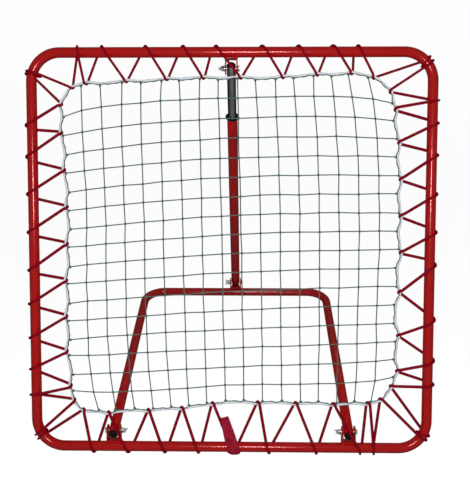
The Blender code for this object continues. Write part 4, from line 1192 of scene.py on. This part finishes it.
def cord_radius(path):
    """Thin where the cord is pulled round the frame's tube, full where it runs free."""
    flat = np.stack([path[:, 0], path[:, 2] - TOP_S / 2], -1)
    corner = np.clip(flat, -INNER_HALF, INNER_HALF)
    from_axis = np.linalg.norm(flat - corner, axis=1) - CORNER_RADIUS
    clear = np.hypot(from_axis, path[:, 1]) - TUBE_R
    swell = np.interp(path[:, 2], CORD_SWELL_HEIGHTS, (CORD_SWELL, CORD_SWELL_TOP))
    radius = np.clip(clear, WRAPPED_CORD_R, CORD_R * swell)
    return np.convolve(np.pad(radius, 3, "edge"), np.ones(7) / 7, "valid")


def make_cord():
    """One cord, laced clockwise from the knot back to the knot."""
    tubes = [(TOP_S, (0, 1)), (HALF_WIDTH, (1, 0)), (0.0, (0, -1)), (-HALF_WIDTH, (-1, 0))]
    apexes, sites = [], []
    for side, (tube_at, outward) in enumerate(tubes):
        sites.append(corner_site(side))
        for value in WRAPS[side]:
            place = (tube_at, value * MM) if side % 2 else (value * MM, tube_at)
            sites.append((np.array(place), np.array(outward, float), False))
        apexes += [np.array(apex) * MM for apex in APEXES[side]]
    path = wrap_points(sites[0], None, apexes[0], KNOT_TURN_SHIFT)
    for index, apex in enumerate(apexes):
        following = apexes[(index + 1) % len(apexes)]
        travel = following - apexes[index - 1]
        path += hook_points(apex, travel / np.linalg.norm(travel))
        if index < len(apexes) - 1:
            path += wrap_points(sites[index + 1], apex, following)
    path += wrap_points(sites[0], apexes[-1], None, -KNOT_TURN_SHIFT)
    path = relaxed_path(resampled(path, CORD_STEP), 5)
    aside = np.hypot(path[:, 0] - KEPT_OFF_LEG[0], path[:, 2] - KEPT_OFF_LEG[1])
    share = np.exp(-0.5 * (aside / KEPT_OFF_REACH) ** 2) * np.clip(-path[:, 1] / TWINE_D, 0, 1)
    path[:, 1] -= KEPT_OFF_BY * share

    def braid(angle, along):
        return 1 + BRAID_RELIEF * (np.cos(6 * angle) + np.cos(2 * math.pi * along / BRAID_PITCH))

    mesh = grid_mesh(tube_grid(path, cord_radius(path), 18, False, braid), False, lengths(path))
    piece("laced_cord", mesh, "elastic_cord", "frame", FRAME_SPACE,
          ["bungee_top", "bungee_right", "bungee_bottom", "bungee_left"])


def make_cord_knot():
    """The knot pulled tight inside the top left corner."""
    center, outward, _ = corner_site(0)
    place = center - outward * (TUBE_R + KNOT_FROM_TUBE)
    lean = np.array(Matrix.Rotation(math.radians(CORNER_WRAP_ANGLES[0]), 3, "Y"))
    loop = relaxed_path(knot_path(CORD_KNOT_SIZE, 0.62), 1, True) @ lean
    loop = resampled(loop + np.array([place[0], 0.0, place[1]]), CORD_KNOT_STEP, True)
    mesh = grid_mesh(tube_grid(loop, CORD_R * 0.66, 14, True), True, lengths(loop))
    piece("cord_knot", mesh, "elastic_cord", "frame", FRAME_SPACE, ["bungee_knot"])


# Fabric tie

def spline_through(points, count):
    """Smooth curve through the points, as Catmull-Rom."""
    padded = np.vstack([2 * points[0] - points[1], points, 2 * points[-1] - points[-2]])
    out = []
    for t in np.linspace(0, len(points) - 1, count):
        i = min(int(t), len(points) - 2)
        f = t - i
        a, b, c, d = padded[i:i + 4]
        out.append(0.5 * (2 * b + (c - a) * f + (2 * a - 5 * b + 4 * c - d) * f * f
                          + (3 * b - 3 * c + d - a) * f ** 3))
    return np.array(out)


def tie_surface():
    """A strip of brushed fabric, its edges turned in over the cord and open on the tube."""
    rows, columns = 96, 29
    route = spline_through(np.array(TIE_ROUTE) * MM, rows)
    spine = route[:, [0, 2, 1]]
    at = lengths(spine)
    ripple = np.random.RandomState(5).uniform(-1, 1, (12, 6))
    front = np.zeros((rows, columns, 3))
    for r in range(rows):
        ahead = spine[min(r + 1, rows - 1)] - spine[max(r - 1, 0)]
        ahead /= np.linalg.norm(ahead)
        side = np.array([1.0, 0.0, 0.0]) - ahead * ahead[0]
        side /= np.linalg.norm(side)
        outward = np.cross(side, ahead)
        if outward[1] > 0 and at[r] < TIE_FRONT_LENGTH:
            outward = -outward
        short = max(0.0, 1 - (at[-1] - at[r]) / TIE_TIP)
        half = TIE_WIDTH / 2 * max(math.sqrt(max(0.0, 1 - short ** 2)), TIE_TIP_LEAST)
        inner = max(0.0, route[r, 3] / 2 - TIE_TURN_R)
        for c, q in enumerate(np.clip(np.linspace(-TIE_WIDTH / 2, TIE_WIDTH / 2, columns), -half, half)):
            bend = min(max(0.0, abs(q) - inner) / TIE_TURN_R, TIE_TURN_MOST)
            x = math.copysign(min(abs(q), inner) + TIE_TURN_R * math.sin(bend), q)
            drop = TIE_TURN_R * (1 - math.cos(bend))
            wave = ripple[int(at[r] / at[-1] * 10.99), int((q / TIE_WIDTH + 0.5) * 4.99)] * TIE_RIPPLE
            front[r, c] = spine[r] + side * x - outward * (drop + wave)
    normal = np.cross(np.gradient(front, axis=1), np.gradient(front, axis=0))
    normal /= np.maximum(np.linalg.norm(normal, axis=2), 1e-9)[:, :, None]
    if normal[10, columns // 2, 1] > 0:
        normal = -normal
    return front, front - normal * TIE_THICKNESS, normal, at


def sheet_mesh(front, rear):
    """A cloth with a front, a rear and closed edges."""
    rows, columns, _ = front.shape
    cells = np.arange(rows * columns).reshape(rows, columns)
    faces = np.stack([cells[:-1, :-1], cells[1:, :-1], cells[1:, 1:], cells[:-1, 1:]], -1).reshape(-1, 4)
    count = rows * columns
    faces = faces.tolist() + (faces[:, ::-1] + count).tolist()
    border = [*cells[0], *cells[1:, -1], *cells[-1, -2::-1], *cells[-2:0:-1, 0]]
    faces += [(a, b, count + b, count + a) for a, b in zip(border, border[1:] + border[:1])]
    points = np.concatenate([front.reshape(-1, 3), rear.reshape(-1, 3)])
    shape = bmesh.new()
    shape.from_mesh(mesh_of(points, faces))
    bmesh.ops.remove_doubles(shape, verts=shape.verts, dist=0.00002)
    bmesh.ops.recalc_face_normals(shape, faces=shape.faces)
    mesh = mesh_from(shape)
    mesh.shade_smooth()
    return mesh


def make_fabric_tie():
    """The strip, and the loose fibres of its pile, most of them at its edges."""
    front, rear, normal, at = tie_surface()
    rng = np.random.RandomState(21)
    front = front + normal * rng.uniform(-0.00010, 0.00016, front.shape[:2])[:, :, None]
    tie = piece("fabric_tie", sheet_mesh(front, rear), "tie_fabric", "frame",
                FRAME_SPACE, ["cord_tie"])

    fibres = []
    rows, columns, _ = front.shape
    for _ in range(FIBRES):
        r, c = rng.randint(2, rows - 3), rng.randint(0, columns)
        if rng.rand() < FIBRES_AT_EDGES:
            c = rng.choice([0, 1, columns - 2, columns - 1])
        root = front[r, c] - normal[r, c] * GAP
        heading = normal[r, c] + rng.normal(0, 0.8, 3)
        heading /= np.linalg.norm(heading)
        size = rng.uniform(*FIBRE_LENGTHS)
        bend = rng.normal(0, 0.35, 3)
        path = np.array([root, root + heading * size * 0.5, root + (heading + bend) * size])
        fibres.append((tube_grid(path, FIBRE_RADII, 3), False))
    pile = piece("tie_pile", merged(fibres), "tie_fabric", "frame", FRAME_SPACE)


# Stage, light and camera

def make_floor():
    """A floor that looks white at any distance and still takes soft shadows."""
    half = FLOOR_SIZE / 2
    corners = [(x, y, -FLOOR_DROP) for x, y in ((-half, -half), (half, -half), (half, half), (-half, half))]
    mesh = mesh_of(corners, [(0, 1, 2, 3)])
    material = bpy.data.materials.new("floor")
    material.use_nodes = True
    nodes = Nodes(material.node_tree)
    nodes.tree.nodes.clear()
    reach = nodes.add("VectorMath", {0: nodes.add("NewGeometry", {}, "Position")}, "Value",
                      operation="LENGTH")
    fade = nodes.ranged(reach, FLOOR_NEAR, FLOOR_FAR, FLOOR_LIFT_FAR, FLOOR_LIFT_NEAR)
    strength = nodes.math("MULTIPLY", nodes.shown_directly(), fade)
    lift = nodes.add("Emission", {"Color": WHITE, "Strength": strength})
    pale = nodes.add("BsdfDiffuse", {"Color": (FLOOR_PALE, FLOOR_PALE, FLOOR_PALE, 1)})
    nodes.add("OutputMaterial", {"Surface": nodes.add("AddShader", {0: pale, 1: lift})})
    mesh.materials.append(material)
    linked("floor", mesh)


def make_world():
    world = bpy.data.worlds.new("studio")
    bpy.context.scene.world = world
    world.use_nodes = True
    nodes = Nodes(world.node_tree)
    strength = nodes.ranged(nodes.shown_directly(), 0.0, 1.0, 1.0, WORLD_FILL)
    nodes.fill(nodes.tree.nodes["Background"], {"Color": WHITE, "Strength": strength})


def add_lamp(name, place, target, share, size):
    """A square lamp that gives the given share of plain light at its target."""
    light = bpy.data.lights.new(name, "AREA")
    light.shape = "SQUARE"
    light.size = size
    away = target - place
    light.energy = share * math.pi ** 2 * away.length_squared
    lamp = linked(name, light)
    lamp.location = place
    lamp.rotation_mode = "QUATERNION"
    lamp.rotation_quaternion = away.to_track_quat("-Z", "Y")


def make_camera():
    """Place the camera and return its up and ahead directions."""
    turn = (Matrix.Rotation(CAMERA_YAW, 3, "Z") @ Matrix.Rotation(math.pi / 2 - CAMERA_PITCH, 3, "X")
            @ Matrix.Rotation(CAMERA_ROLL, 3, "Z"))
    data = bpy.data.cameras.new("camera")
    data.sensor_fit = "AUTO"
    data.sensor_width = SENSOR_MM
    data.lens = FOCAL_PIXELS / FRAME_PIXELS * SENSOR_MM
    camera = linked("camera", data)
    camera.matrix_world = Matrix.Translation(CAMERA_PLACE) @ turn.to_4x4()
    bpy.context.scene.camera = camera
    return turn.col[1], -turn.col[2]


make_frame_tube()
make_leg_tube()
make_strut()
make_plugs()
make_collar()
make_pivot_fittings()
make_lock()
make_net()
make_cord()
make_cord_knot()
make_fabric_tie()

make_floor()
make_world()
camera_up, camera_ahead = make_camera()
middle = Vector((0, 0, (cad_box[0].z + cad_box[1].z) / 2))
key_place = CAMERA_PLACE + camera_up * KEY_ABOVE - camera_ahead * KEY_BEHIND
add_lamp("key", key_place, middle, KEY_SHARE, KEY_SIZE)
add_lamp("back", BACK_PLACE, middle, BACK_SHARE, BACK_SIZE)
bpy.context.scene.view_settings.view_transform = "Standard"
